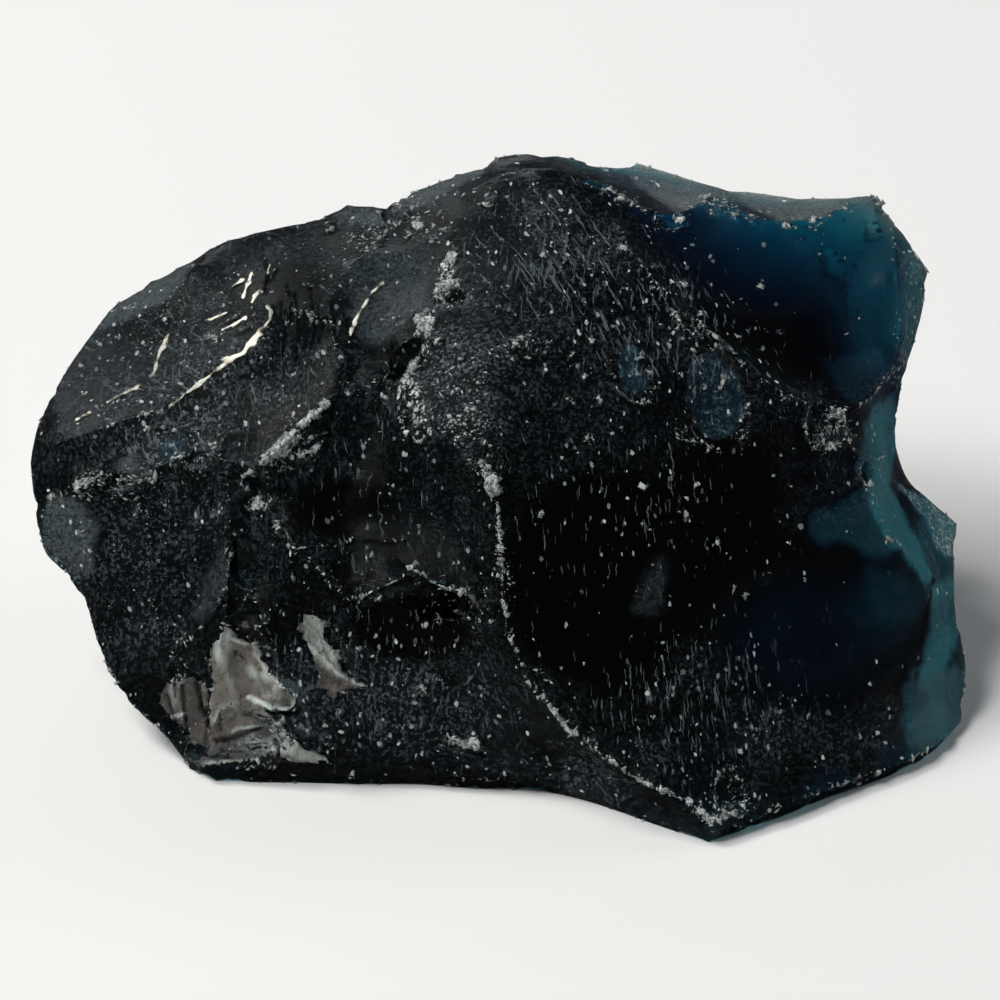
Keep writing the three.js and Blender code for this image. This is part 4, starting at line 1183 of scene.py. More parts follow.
def new_material(name: str) -> tuple[bpy.types.Material, Graph]:
    """A material with an empty node tree, and the graph to fill it with."""
    material = bpy.data.materials.new(name)
    material.use_nodes = True
    return material, Graph(material.node_tree)


@dataclass(frozen=True)
class WornAndPaintedSkin:
    """How the layers of the worn skin and of its painted light and shade are laid. A pair of edges is
    where a layer starts and is full.

    Attributes:
        fleck_mix: Shares of the specks and the grain in the flecks.
        marbling: Edges of the marbled dust, on the flecks.
        marbled: What the marbling adds to the dust, and its share without.
        wear: Edges of the wear, on the flecks.
        wear_least: The wear that there is without flecks.
        crust: Edges of the crust, on its speckled mask.
        crust_specks: How much the specks add to that mask.
        crust_pale: Edges of its paler part, on the grain.
        crust_smooth: How much the crust's mask adds to that grain.
        crust_crush: How fast crushing whitens it.
        stars: Edges of a bruise, on its speckled mask.
        star_specks: How much the specks add to that mask.
        star_wear: What wear adds to a bruise, and its share without.
        bruise: Edges of its paler part, on the grain.
        bruise_dust: Edges of the dust in it, on the grain.
        bruise_hue: How fast it takes on its colour.
        gilt: Edges of a step's painted glint, on its speckled mask.
        painted_glint_specks: How much the specks add to that mask.
        lit: Edges of the painted glint's brighter middle, on its mask.
        painted_glow_flecks: What the flecks add to the painted teal light, and its share without.
        painted_glow_dust: How much dust pales that painted colour.
        painted_glow_hue: How fast the skin takes it on.
        dull_hue: How fast a dulled place takes on its colour.
    """

    fleck_mix: Pair = (0.55, 0.45)
    marbling: Pair = (0.5, 0.58)
    marbled: Pair = (0.92, 0.08)
    wear: Pair = (0.4, 0.6)
    wear_least: float = 0.25
    crust: Pair = (0.78, 0.92)
    crust_specks: float = 0.7
    crust_pale: Pair = (0.65, 0.85)
    crust_smooth: float = 0.25
    crust_crush: float = 1.3
    stars: Pair = (0.45, 0.75)
    star_specks: float = 0.4
    star_wear: Pair = (0.45, 0.45)
    bruise: Pair = (0.46, 0.62)
    bruise_dust: Pair = (0.58, 0.68)
    bruise_hue: float = 4.0
    gilt: Pair = (0.5, 0.7)
    painted_glint_specks: float = 0.5
    lit: Pair = (0.35, 0.7)
    painted_glow_flecks: Pair = (2.4, -0.2)
    painted_glow_dust: float = 0.6
    painted_glow_hue: float = 20.0
    dull_hue: float = 1.6


@dataclass(frozen=True)
class SlagGlass:
    """Dark blue see-through glass with a worn, dusty skin, and light and shade painted into that skin.

    Attributes:
        ior: How strongly the glass bends light.
        tint: What the glass lets through; the rest is taken up on the way.
        density: How much it takes up, to a metre.
        polish: Roughness of clean fracture.
        haze: Roughness that full dust adds.
        matt: Roughness that the worn skin behind adds.
        worn_roughness: Roughness of the worn skin outside.
        worn_sheen: How much the worn skin outside mirrors.
        fine: The fine grain: swells to a millimetre, finer sizes, and their strength.
        coarse: The same for the coarse grain.
        mix: Shares of the coarse and the fine grain in the whole.
        sway: The marks' waywardness: swells to a millimetre, and reach in millimetres.
        bump: Strength of the relief, and its depth in millimetres.
        bump_shares: Its share on clean glass, and what crushing and dust add.
        dust_cover: Share of the surface that full dust hides.
        painted_glow_cover: Share of the surface that the painted teal light hides where the glass is
            thin.
        star_cover: Share of the surface that a bruise hides.
        crust_cover: Share of the surface that the crust hides.
        dull_cover: Share of the surface that a dulled place hides.
        layers: How the skin's layers are laid.
        pale: Colour of crushed glass.
        dust: Colour of the dust.
        bruise: Colour of a bruise.
        bruise_deep: Colour of a bruise's darker part.
        dull: Colour of a dulled place.
        dark: Colour of the painted shade: slits, dark patches and the band along the foot.
        gilt: Colour of the painted glints on the steps, a painted highlight.
        painted_glint_rim: Colour of their edges.
        glow: Colour of the teal light painted where the glass is thin.
        painted_depths: Colour of that painted light where it is faintest.
        crust: Colour of the crust.
        crust_dark: Colour of the crust's darker parts.
        coat: Colour of the dark lining of painted shade behind, as seen through the glass.
    """

    ior: float = 1.52
    tint: Colour = (0.0, 0.64, 0.735, 1.0)
    density: float = 700.0
    polish: float = 0.04
    haze: float = 0.14
    matt: float = 0.7
    worn_roughness: float = 0.62
    worn_sheen: float = 0.2
    fine: Triple = (2.6, 3.0, 0.7)
    coarse: Triple = (0.8, 2.0, 0.6)
    mix: Pair = (0.45, 0.55)
    sway: Pair = (2.0, 0.26)
    bump: Pair = (0.7, 0.35)
    bump_shares: Triple = (0.08, 1.2, 1.3)
    dust_cover: float = 0.5
    painted_glow_cover: float = 0.5
    star_cover: float = 0.85
    crust_cover: float = 0.97
    dull_cover: float = 0.9
    layers: WornAndPaintedSkin = WornAndPaintedSkin()
    pale: Colour = (0.62, 0.68, 0.65, 1.0)
    dust: Colour = (0.23, 0.31, 0.36, 1.0)
    bruise: Colour = (0.04, 0.088, 0.115, 1.0)
    bruise_deep: Colour = (0.012, 0.03, 0.045, 1.0)
    dull: Colour = (0.13, 0.15, 0.143, 1.0)
    dark: Colour = (0.004, 0.005, 0.006, 1.0)
    gilt: Colour = (1.0, 1.0, 0.92, 1.0)
    painted_glint_rim: Colour = (0.42, 0.38, 0.24, 1.0)
    glow: Colour = (0.05, 0.3, 0.37, 1.0)
    painted_depths: Colour = (0.004, 0.035, 0.12, 1.0)
    crust: Colour = (0.166, 0.153, 0.136, 1.0)
    crust_dark: Colour = (0.07, 0.064, 0.058, 1.0)
    coat: Colour = (0.1, 0.105, 0.11, 1.0)

    def material(self, effects: Effects) -> bpy.types.Material:
        """Builds the glass.

        Args:
            effects: The shared node groups.

        Returns:
            The material.
        """
        material, graph = new_material("slag_glass_skin")
        masks = {name: graph.mask(name) for name in Field}
        place = graph.place()
        speck = graph.noise(place, *self.fine)
        parts = (graph.noise(place, *self.coarse), speck)
        grain = graph.math("ADD", *(graph.times(*pair) for pair in zip(parts, self.mix)))
        swells, reach = self.sway
        sway = graph.add("TexNoise", {"Vector": place, "Scale": swells, "Detail": 0.0})
        bent = graph.vector_math("ADD", place, graph.scaled(sway.outputs["Color"], reach))
        marks = self.marks(graph, effects, masks, grain, bent)
        cover, colour, dusty = self.skin(graph, masks, grain, speck, marks)
        clean, crushed, dustier = self.bump_shares
        relief = graph.line(masks[Field.CRUSH], crushed, clean)
        relief = graph.line(masks[Field.VEIL], dustier, relief)
        strength, depth = self.bump
        height = graph.times(speck, relief)
        inputs = {"Strength": strength, "Distance": depth * MM, "Height": height}
        bump = graph.add("Bump", inputs).outputs[0]
        roughness = graph.line(dusty, self.haze, self.polish)
        glass = self.glass(graph, roughness, bump)
        # The opaque skin: real dust, crust, bruises and pale marks, and also painted glints, painted
        # teal light and painted shade.
        worn = graph.add(
            "BsdfPrincipled",
            {
                "Base Color": colour,
                "Roughness": self.worn_roughness,
                "Specular IOR Level": self.worn_sheen,
                "Normal": bump,
            },
        )
        outside = graph.add("MixShader", {0: cover, 1: glass, 2: worn.outputs[0]}).outputs[0]
        # Seen from within, the skin is only as matt as it is behind, and is lined as thickly as it is
        # behind with a dark sheet of painted shade that keeps the glass dark.
        inner_roughness = graph.line(masks[Field.MATT], self.matt, self.polish)
        inner_glass = self.glass(graph, inner_roughness)
        coat = graph.add("BsdfDiffuse", {"Color": self.coat}).outputs[0]
        within = graph.add("MixShader", {0: masks[Field.COAT], 1: inner_glass, 2: coat}).outputs[0]
        side = graph.add("NewGeometry").outputs["Backfacing"]
        surface = graph.add("MixShader", {0: side, 1: outside, 2: within}).outputs[0]
        volume = graph.add("VolumeAbsorption", {"Color": self.tint, "Density": self.density})
        graph.add("OutputMaterial", {"Surface": surface, "Volume": volume.outputs[0]})
        return material

    def glass(self, graph: Graph, roughness: object, normal: Optional[Socket] = None) -> Socket:
        """The see-through glass alone.

        Args:
            graph: The material's graph.
            roughness: How rough its surface is.
            normal: The normal that its fine relief gives, if it has any.

        Returns:
            The shader's socket.
        """
        inputs = {
            "Base Color": (1.0, 1.0, 1.0, 1.0),
            "Roughness": roughness,
            "IOR": self.ior,
            "Transmission Weight": 1.0,
        }
        if normal:
            inputs["Normal"] = normal
        return graph.add("BsdfPrincipled", inputs).outputs[0]

    def marks(
        self,
        graph: Graph,
        effects: Effects,
        masks: dict[Field, Socket],
        grain: Socket,
        bent: Socket,
    ) -> Socket:
        """Pale marks on the skin: crushed grit, knocks and scratches.

        Args:
            graph: The material's graph.
            effects: The shared node groups.
            masks: The skin's masks.
            grain: The skin's grain.
            bent: Places with a little waywardness, so that no mark is straight.

        Returns:
            How pale the marks are.
        """
        marks = graph.group(effects.grit, Grain=grain, Amount=masks[Field.CRUSH])
        score, veil = masks[Field.SCORE], masks[Field.VEIL]
        # Slanting ticks, upright ticks, and flecks that lie all ways in the dust.
        for turn, cells, amount in (
            (-56.0, (0.75, 2.0, 1.0), graph.times(score, 0.4)),
            (78.0, (0.8, 1.7, 1.0), graph.times(score, 0.3)),
            (20.0, (1.1, 1.5, 1.2), graph.line(veil, 0.65, 0.02)),
        ):
            turn = math.radians(-turn)
            knocks = graph.group(effects.knocks, Place=bent, Turn=turn, Cells=cells, Amount=amount)
            marks = graph.math("MAXIMUM", marks, knocks)
        for turn, share in ((-50.0, 0.26), (84.0, 0.22)):
            lines = graph.group(effects.scratches, Place=bent, Turn=math.radians(-turn), Amount=score)
            marks = graph.math("MAXIMUM", marks, graph.times(lines, share))
        return marks

    def skin(
        self,
        graph: Graph,
        masks: dict[Field, Socket],
        grain: Socket,
        speck: Socket,
        marks: Socket,
    ) -> tuple[Socket, Socket, Socket]:
        """The worn skin that hides part of the glass, with painted glints, painted teal light and
        painted shade laid into it.

        Args:
            graph: The material's graph.
            masks: The skin's masks.
            grain: The skin's grain.
            speck: The finer part of the grain.
            marks: How pale the marks are.

        Returns:
            The share of the surface that the skin hides, its colour, and how dusty it is.
        """
        laid = self.layers
        from_specks, from_grain = laid.fleck_mix
        flecked = graph.line(speck, from_specks, graph.times(grain, from_grain))
        marbled = graph.line(graph.step(flecked, *laid.marbling), *laid.marbled)
        dusty = graph.times(masks[Field.VEIL], marbled)
        crusted = graph.line(speck, laid.crust_specks, masks[Field.CRUST])
        crusted = graph.step(crusted, *laid.crust)
        starred = graph.line(speck, laid.star_specks, masks[Field.FROST])
        worn = graph.math("ADD", graph.step(flecked, *laid.wear), laid.wear_least)
        starred = graph.times(graph.step(starred, *laid.stars), masks[Field.FROST])
        star_wear = graph.line(worn, *laid.star_wear)
        starred = graph.times(starred, star_wear, clamp=True)
        dulled = graph.times(masks[Field.DULL], worn, clamp=True)
        # Teal light painted where the glass is thin, flecked unevenly.
        uneven = graph.line(flecked, *laid.painted_glow_flecks)
        painted_glow_flecked = graph.times(masks[Field.GLOW], uneven, clamp=True)
        # Painted glints on the steps: pale gold highlights, with a brighter painted middle.
        gilded = graph.line(speck, laid.painted_glint_specks, masks[Field.GILT])
        gilded = graph.step(gilded, *laid.gilt)
        lit = graph.step(masks[Field.GILT], *laid.lit)
        cover = graph.times(dusty, self.dust_cover)
        for layer, share in (
            (marks, 1.0), (starred, self.star_cover), (painted_glow_flecked, self.painted_glow_cover), (gilded, 1.0),
            (crusted, self.crust_cover), (dulled, self.dull_cover),
        ):
            cover = graph.math("MAXIMUM", cover, graph.times(layer, share), clamp=True)
        # The colour of the painted teal light, paled by dust; it takes over the dust colour where the
        # glass is thin.
        painted_glow_colour = graph.blend(masks[Field.GLOW], self.painted_depths, self.glow)
        paled = graph.times(dusty, laid.painted_glow_dust, clamp=True)
        painted_glow_colour = graph.blend(paled, painted_glow_colour, self.pale)
        thin = graph.times(masks[Field.GLOW], laid.painted_glow_hue, clamp=True)
        colour = graph.blend(thin, self.dust, painted_glow_colour)
        bruised = graph.blend(graph.step(grain, *laid.bruise), self.bruise_deep, self.bruise)
        bruised = graph.blend(graph.step(grain, *laid.bruise_dust), bruised, self.dust)
        colour = graph.blend(graph.times(starred, laid.bruise_hue, clamp=True), colour, bruised)
        colour = graph.blend(graph.times(dulled, laid.dull_hue, clamp=True), colour, self.dull)
        colour = graph.blend(marks, colour, self.pale)
        smooth = graph.line(masks[Field.CRUST], laid.crust_smooth, grain)
        crust_colour = graph.blend(graph.step(smooth, *laid.crust_pale), self.crust_dark, self.crust)
        whitened = graph.times(masks[Field.CRUSH], laid.crust_crush, clamp=True)
        crust_colour = graph.blend(whitened, crust_colour, self.pale)
        colour = graph.blend(crusted, colour, crust_colour)
        colour = graph.blend(gilded, colour, graph.blend(lit, self.painted_glint_rim, self.gilt))
        # The painted shade lies over all the rest.
        dark = masks[Field.SLIT]
        bare = graph.times(graph.math("SUBTRACT", 1.0, cover), graph.math("SUBTRACT", 1.0, dark))
        cover = graph.math("SUBTRACT", 1.0, bare)
        colour = graph.blend(graph.math("DIVIDE", dark, cover, clamp=True), colour, self.dark)
        return cover, colour, dusty


@dataclass(frozen=True)
class CrushedGlass:
    """Pale crushed glass, as on the crumbs that cling to the ridges.

    Attributes:
        pale: Colour of the palest crumbs.
        shaded: Colour of the darkest crumbs.
        roughness: How rough they are.
        grain: Their grain: swells to a millimetre, finer sizes, and their strength.
        crushed: How crushed they are.
        grit_share: How much of their tone the grit gives.
        bump: Strength of the relief, and its depth in millimetres.
    """

    pale: Colour = (0.6, 0.64, 0.6, 1.0)
    shaded: Colour = (0.2, 0.23, 0.23, 1.0)
    roughness: float = 0.4
    grain: Triple = (2.6, 2.0, 0.7)
    crushed: float = 0.62
    grit_share: float = 0.4
    bump: Pair = (0.6, 0.2)

    def material(self, effects: Effects) -> bpy.types.Material:
        """Builds the crushed glass.

        Args:
            effects: The shared node groups.

        Returns:
            The material.
        """
        material, graph = new_material("crushed_glass")
        place = graph.place()
        grit = graph.add("Group", node_tree=effects.grit)
        grain = graph.noise(place, *self.grain)
        graph.feed(grit.inputs["Grain"], grain)
        graph.feed(grit.inputs["Amount"], self.crushed)
        tone = graph.add("Attribute", attribute_name="tone").outputs["Fac"]
        given = self.grit_share
        share = graph.line(grit.outputs["Mask"], given, 1.0 - given)
        share = graph.times(tone, share)
        strength, depth = self.bump
        bump = graph.add("Bump", {"Strength": strength, "Distance": depth * MM, "Height": grain})
        surface = graph.add(
            "BsdfPrincipled",
            {
                "Base Color": graph.blend(share, self.shaded, self.pale),
                "Roughness": self.roughness,
                "Normal": bump.outputs[0],
            },
        )
        graph.add("OutputMaterial", {"Surface": surface.outputs[0]})
        return material


@dataclass(frozen=True)
class PaleFloor:
    """The studio's plain pale floor.

    Attributes:
        colour: Its colour.
        mirrored: Its colour as the glass mirrors it.
    """

    colour: Colour = (0.96, 0.96, 0.96, 1.0)
    mirrored: Colour = (0.05, 0.05, 0.05, 1.0)

    def material(self) -> bpy.types.Material:
        """Builds the floor's finish, which the glass hardly mirrors."""
        material, graph = new_material("pale_floor")
        path = graph.add("LightPath").outputs
        through = graph.math("SUBTRACT", 1.0, path["Is Transmission Ray"])
        mirrored = graph.times(path["Is Glossy Ray"], through)
        pale = graph.add("BsdfDiffuse", {"Color": self.colour})
        dim = graph.add("BsdfDiffuse", {"Color": self.mirrored})
        both = graph.add("MixShader", {0: mirrored, 1: pale.outputs[0], 2: dim.outputs[0]})
        graph.add("OutputMaterial", {"Surface": both.outputs[0]})
        return material


# ---- The lump --------------------------------------------


def new_object(name: str, points: Array, faces: Array) -> bpy.types.Object:
    """A mesh object in the scene.

    Args:
        name: The object's name.
        points: Vertices in millimetres, one a row.
        faces: Triangles, as three vertex numbers a row.

    Returns:
        The object, at the lump's origin.
    """
    mesh = bpy.data.meshes.new(name)
    mesh.vertices.add(len(points))
    mesh.vertices.foreach_set("co", (points * MM).astype(np.float32).ravel())
    mesh.loops.add(3 * len(faces))
    mesh.loops.foreach_set("vertex_index", faces.astype(np.int32).ravel())
    mesh.polygons.add(len(faces))
    mesh.polygons.foreach_set("loop_start", np.arange(0, 3 * len(faces), 3, dtype=np.int32))
    mesh.update(calc_edges=True)
    mesh.validate()
    made = bpy.data.objects.new(name, mesh)
    bpy.context.scene.collection.objects.link(made)
    return made


def keep_mask(mesh: bpy.types.Mesh, name: str, values: Array) -> None:
    """Stores one value at each vertex of a mesh."""
    layer = mesh.attributes.new(name, "FLOAT", "POINT")
    layer.data.foreach_set("value", values.astype(np.float32))


@dataclass(frozen=True)
class PaintedShadeLining:
    """A dark lining of painted shade behind, which only shows from within, and the teal light painted
    on the thin east end there.

    Attributes:
        full: How thick the lining is in the west.
        fade: Where it thins out, going east.
        wavering: How far its edge wavers.
        patchy: What the broad patches add to it.
        east: How thick it is again in the east.
        east_fade: Where it comes back.
        corner: What the top east corner adds.
        corner_fade: Where that starts and ends.
        corner_lean: How much the height counts in that.
        glow: The teal light painted behind the thin east end, and what the broad patches add to it.
        painted_glow_fade: Where it starts and ends.
    """

    full: float = 0.9
    fade: Pair = (8.0, 17.0)
    wavering: float = 6.0
    patchy: float = 0.12
    east: float = 0.42
    east_fade: Pair = (17.0, 29.0)
    corner: float = 0.3
    corner_fade: Pair = (44.0, 52.0)
    corner_lean: float = 0.3
    glow: Pair = (0.25, 0.45)
    painted_glow_fade: Pair = (34.0, 46.0)

    def thickness(self, points: Array, patches: Array) -> Array:
        """How thick the painted-shade lining is.

        Args:
            points: Places in millimetres, one a row.
            patches: The broad patches of wear at those places.

        Returns:
            A share of the surface from 0 to 1 for each place.
        """
        east = points[:, 0]
        coat = self.full * (1.0 - ease(east + self.wavering * patches, *self.fade))
        coat += self.patchy * patches
        coat += self.east * ease(east, *self.east_fade)
        return coat + self.corner * ease(east + self.corner_lean * points[:, 2], *self.corner_fade)

    def painted_glow_behind(self, points: Array, patches: Array) -> Array:
        """How much teal light is painted, for the same places and patches."""
        least, patchy = self.glow
        return (least + patchy * patches) * ease(points[:, 0], *self.painted_glow_fade)


@dataclass
class GlassLump:
    """The lump itself: the solid's own shape with the fine breakage laid into it.

    Attributes:
        weld: Vertices of the solid closer than this are one, in millimetres.
        ridge_angle: Faces that meet at more than this, in degrees, meet in a ridge.
        passes: Longest side left by each pass of refining.
        front_side: Longest side wanted on the front.
        back_side: Longest side wanted behind.
        ridge_side: Longest side wanted along a ridge.
        mark_side: Longest side wanted in a mark on the front.
        painted_glint_side: Longest side wanted in a step with a painted glint.
        easing: Rounds of easing after each pass.
        ridge_reach: How near a ridge the sides along it are wanted short.
        mark_margin: How far round a mark the sides are wanted short.
        nick_depth: How deep the nicks along the ridges are.
        nicks: Where along the ridges they are.
        swell_depth: Depth of the broad unevenness of the skin.
        swell: The size and seed of that unevenness.
        grain_depth: Depth of its fine grain.
        grain: The size and seed of that grain.
        grain_least: Its share where there is no dust.
        crust_height: How far the crust stands proud.
        crust_shape: Shares of that for the whole crust, its steps and its layers.
        crust_steps: How many steps the crust has.
        crust_layers: The size and seed of the crust's layers.
        crust_stretch: How closely the layers lie, each way.
        edge_band: Where the wear by a ridge starts to fade, and where it ends.
        clouds: Where the dust lies thick.
        rim_breaks: Where the ridges are crushed.
        behind: The broad patches of wear behind.
        wander: The size and two seeds of the waywardness of the patches' outlines.
        wander_reach: How far it moves them.
        patch_blur: How often the edges of the softened patches are softened.
        softened: The masks whose patches have soft edges.
        ragged: How ragged the marks' edges are.
        ragged_thin: The same for steps with painted glints and for slits painted with shade.
        raggedness: The size and seed of it.
        gaps: Where the marks are broken.
        veil: Dust that lies all over.
        score: Scratches that are all over.
        thin_dust: The share of its dust that a place keeps between the clouds.
        rim_crush: How crushed a ridge is at most.
        veil_behind: The most dust that the patches behind add.
        score_behind: The most scratches that they add.
        coat: A dark lining of painted shade behind, seen only from within.
        most: The most that a mask may be.
        smooth_angle: Faces that meet at more than this, in degrees, look sharp.
    """

    weld: float = 0.03
    ridge_angle: float = 27.0
    passes: tuple[float, ...] = (2.2, 1.3, 0.8, 0.5, 0.36, 0.26)
    front_side: float = 0.76
    back_side: float = 1.9
    ridge_side: float = 0.5
    mark_side: float = 0.34
    painted_glint_side: float = 0.24
    easing: int = 3
    ridge_reach: float = 0.5
    mark_margin: float = 0.15
    nick_depth: float = 0.3
    nicks: Clouds = Clouds(1.3, 31, -0.1, 0.55)
    swell_depth: float = 0.07
    swell: tuple[float, int] = (3.2, 11)
    grain_depth: float = 0.03
    grain: tuple[float, int] = (0.9, 21)
    grain_least: float = 0.4
    crust_height: float = 0.25
    crust_shape: Triple = (0.5, 2.2, 0.5)
    crust_steps: float = 4.0
    crust_layers: tuple[float, int] = (2.6, 71)
    crust_stretch: Triple = (1.0, 0.6, 0.6)
    edge_band: Pair = (0.05, 0.8)
    clouds: Clouds = Clouds(5.0, 91, -0.55, 0.45)
    rim_breaks: Clouds = Clouds(3.5, 95, -0.25, 0.5)
    behind: Clouds = Clouds(16.0, 41, -0.5, 0.6)
    wander: tuple[float, int, int] = (1.3, 51, 52)
    wander_reach: float = 0.5
    patch_blur: int = 2
    softened: tuple[Field, ...] = (Field.DULL, Field.GLOW, Field.FROST, Field.SLIT)
    ragged: float = 0.3
    ragged_thin: float = 0.75
    raggedness: tuple[float, int] = (0.7, 61)
    gaps: Clouds = Clouds(1.1, 65, -0.35, 0.35)
    veil: float = 0.18
    score: float = 0.15
    thin_dust: float = 0.3
    rim_crush: float = 0.5
    veil_behind: float = 0.6
    score_behind: float = 0.4
    coat: PaintedShadeLining = PaintedShadeLining()
    most: float = 1.5
    smooth_angle: float = 38.0
    masks: dict[Field, Array] = field(default_factory=dict)

    def wanted_sides(self, skin: Skin, middles: Array, normals: Array) -> Array:
        """How long the sides may be, place by place.

        Args:
            skin: The skin.
            middles: Places in millimetres, one a row.
            normals: The skin's normals there.

        Returns:
            The longest side wanted at each place.
        """
        measured = FRONT.measure(middles)
        front = FRONT.faces_it(measured, normals)
        wanted = np.where(front, self.front_side, self.back_side)
        by_ridge = skin.ridge_gap(middles) < self.ridge_reach
        wanted[by_ridge] = np.where(front[by_ridge], self.ridge_side, 2.0 * self.ridge_side)
        for stroke in STROKES:
            reach = stroke.half_width + self.mark_margin
            rows = near(stroke, measured[:, :2], reach)
            rows = rows[front[rows]]
            gap, _ = stroke.distance(measured[rows, :2])
            longest = self.painted_glint_side if stroke.relief is Relief.GILDED else self.mark_side
            wanted[rows[gap < reach]] = longest
        return wanted

    def refined(self, node: bpy.types.Object) -> Skin:
        """The solid's skin in small triangles, eased, with its ridges kept.

        Args:
            node: The solid's object.

        Returns:
            The skin.
        """
        skin = Skin.of_node(node, self.weld)
        skin.mark_ridges(self.ridge_angle)
        skin.ease_skin(1)
        for longest in self.passes:
            edges, sides = skin.sides()
            ends = skin.points[edges]
            length = np.linalg.norm(ends[:, 0] - ends[:, 1], axis=1)
            candidates = np.flatnonzero(length > max(longest, self.painted_glint_side))
            normals = skin.normals()[edges[candidates]].mean(axis=1)
            wanted = self.wanted_sides(skin, ends[candidates].mean(axis=1), normals)
            long_edges = np.zeros(len(edges), dtype=bool)
            long_edges[candidates] = length[candidates] > wanted
            skin.split(long_edges, edges, sides)
            skin.ease_skin(self.easing)
            LOG.info("refined to %d triangles", len(skin.faces))
        return skin

    def measure_masks(self, skin: Skin, measured: Array, front: Array) -> None:
        """Fills in the masks at every vertex.

        Args:
            skin: The refined skin.
            measured: Its vertices as measured on the front.
            front: True for each vertex on the front.
        """
        points, places, masks = skin.points, measured[:, :2], self.masks
        masks.update({name: np.zeros(len(points)) for name in Field})
        masks[Field.EDGE] = 1.0 - ease(skin.ridge_gap(points), *self.edge_band)
        masks[Field.VEIL] += self.veil
        masks[Field.SCORE] += self.score
        for name, ovals in ZONES.items():
            for oval in ovals:
                masks[name] += np.where(front, oval.amounts(places), 0.0)
        masks[Field.VEIL] *= self.thin_dust + (1.0 - self.thin_dust) * self.clouds.at(points)
        masks[Field.MATT] = np.where(front, 0.0, 1.0)
        masks[Field.CRUSH] += self.rim_crush * masks[Field.EDGE] * self.rim_breaks.at(points)
        # Behind, the dust and the knocks come in broad patches of their own.
        patches = self.behind.at(points)
        for name, most in ((Field.VEIL, self.veil_behind), (Field.SCORE, self.score_behind)):
            masks[name] += np.where(front, 0.0, most * patches)
        # Behind, a dark lining of painted shade keeps the glass dark from within, and teal light is
        # painted on the thin east end.
        masks[Field.COAT] = np.where(front, 0.0, self.coat.thickness(points, patches))
        masks[Field.GLOW] += np.where(front, 0.0, self.coat.painted_glow_behind(points, patches))
        spacing, *seeds = self.wander
        wander = np.stack([rough_noise(points, spacing, seed) for seed in seeds], axis=1)
        for patch in PATCHES:
            within = inside(patch.outline, places + self.wander_reach * wander) & front
            masks[patch.mask] += patch.amount * within
        for name in self.softened:
            masks[name] = skin.blurred(masks[name], self.patch_blur)

    def displace(self, skin: Skin, measured: Array, front: Array) -> None:
        """Lays the fine breakage into the skin.

        Args:
            skin: The refined skin, which is changed.
            measured: Its vertices as measured on the front.
            front: True for each vertex on the front.
        """
        points, masks = skin.points, self.masks
        shift = self.swell_depth * rough_noise(points, *self.swell)
        dustier = self.grain_least + masks[Field.VEIL]
        shift += self.grain_depth * rough_noise(points, *self.grain) * dustier
        shift -= self.nick_depth * masks[Field.EDGE] * self.nicks.at(points)
        for stroke in STROKES:
            margin = stroke.reach if stroke.relief is Relief.LIP else stroke.half_width
            rows = near(stroke, measured[:, :2], margin)
            rows = rows[front[rows]]
            gap, side = stroke.distance(measured[rows, :2])
            ragged = self.ragged_thin if stroke.relief in (Relief.GILDED, Relief.SLIT) else self.ragged
            gap = gap * (1.0 + ragged * smooth_noise(points[rows], *self.raggedness))
            shift[rows] += stroke.shift(gap, side)
            for name, values in stroke.colouring(gap, self.gaps.at(points[rows])).items():
                masks[name][rows] = np.maximum(masks[name][rows], values)
        layers = rough_noise(points * np.array(self.crust_stretch), *self.crust_layers)
        terraces = np.floor(self.crust_steps * (layers + 1.0)) / self.crust_steps - 1.0
        whole, stepped, smooth = self.crust_shape
        proud = whole + stepped * terraces + smooth * layers
        shift += masks[Field.CRUST] * self.crust_height * proud
        skin.points = points + skin.normals() * shift[:, None]

    def build(self, node: bpy.types.Object) -> tuple[bpy.types.Object, Skin]:
        """Makes the lump's object.

        Args:
            node: The solid that it is refined from.

        Returns:
            The object, and its skin.
        """
        skin = self.refined(node)
        measured = FRONT.measure(skin.points)
        front = FRONT.faces_it(measured, skin.normals())
        self.measure_masks(skin, measured, front)
        self.displace(skin, measured, front)
        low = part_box(node.name)[0][2] / MM
        skin.points[:, 2] = np.maximum(skin.points[:, 2], low)
        lump = new_object("glass_lump", skin.points, skin.faces)
        for name, values in self.masks.items():
            keep_mask(lump.data, name.value, np.clip(values, 0.0, self.most))
        lump.data.shade_smooth()
        lump.data.set_sharp_from_angle(angle=math.radians(self.smooth_angle))
        return lump, skin


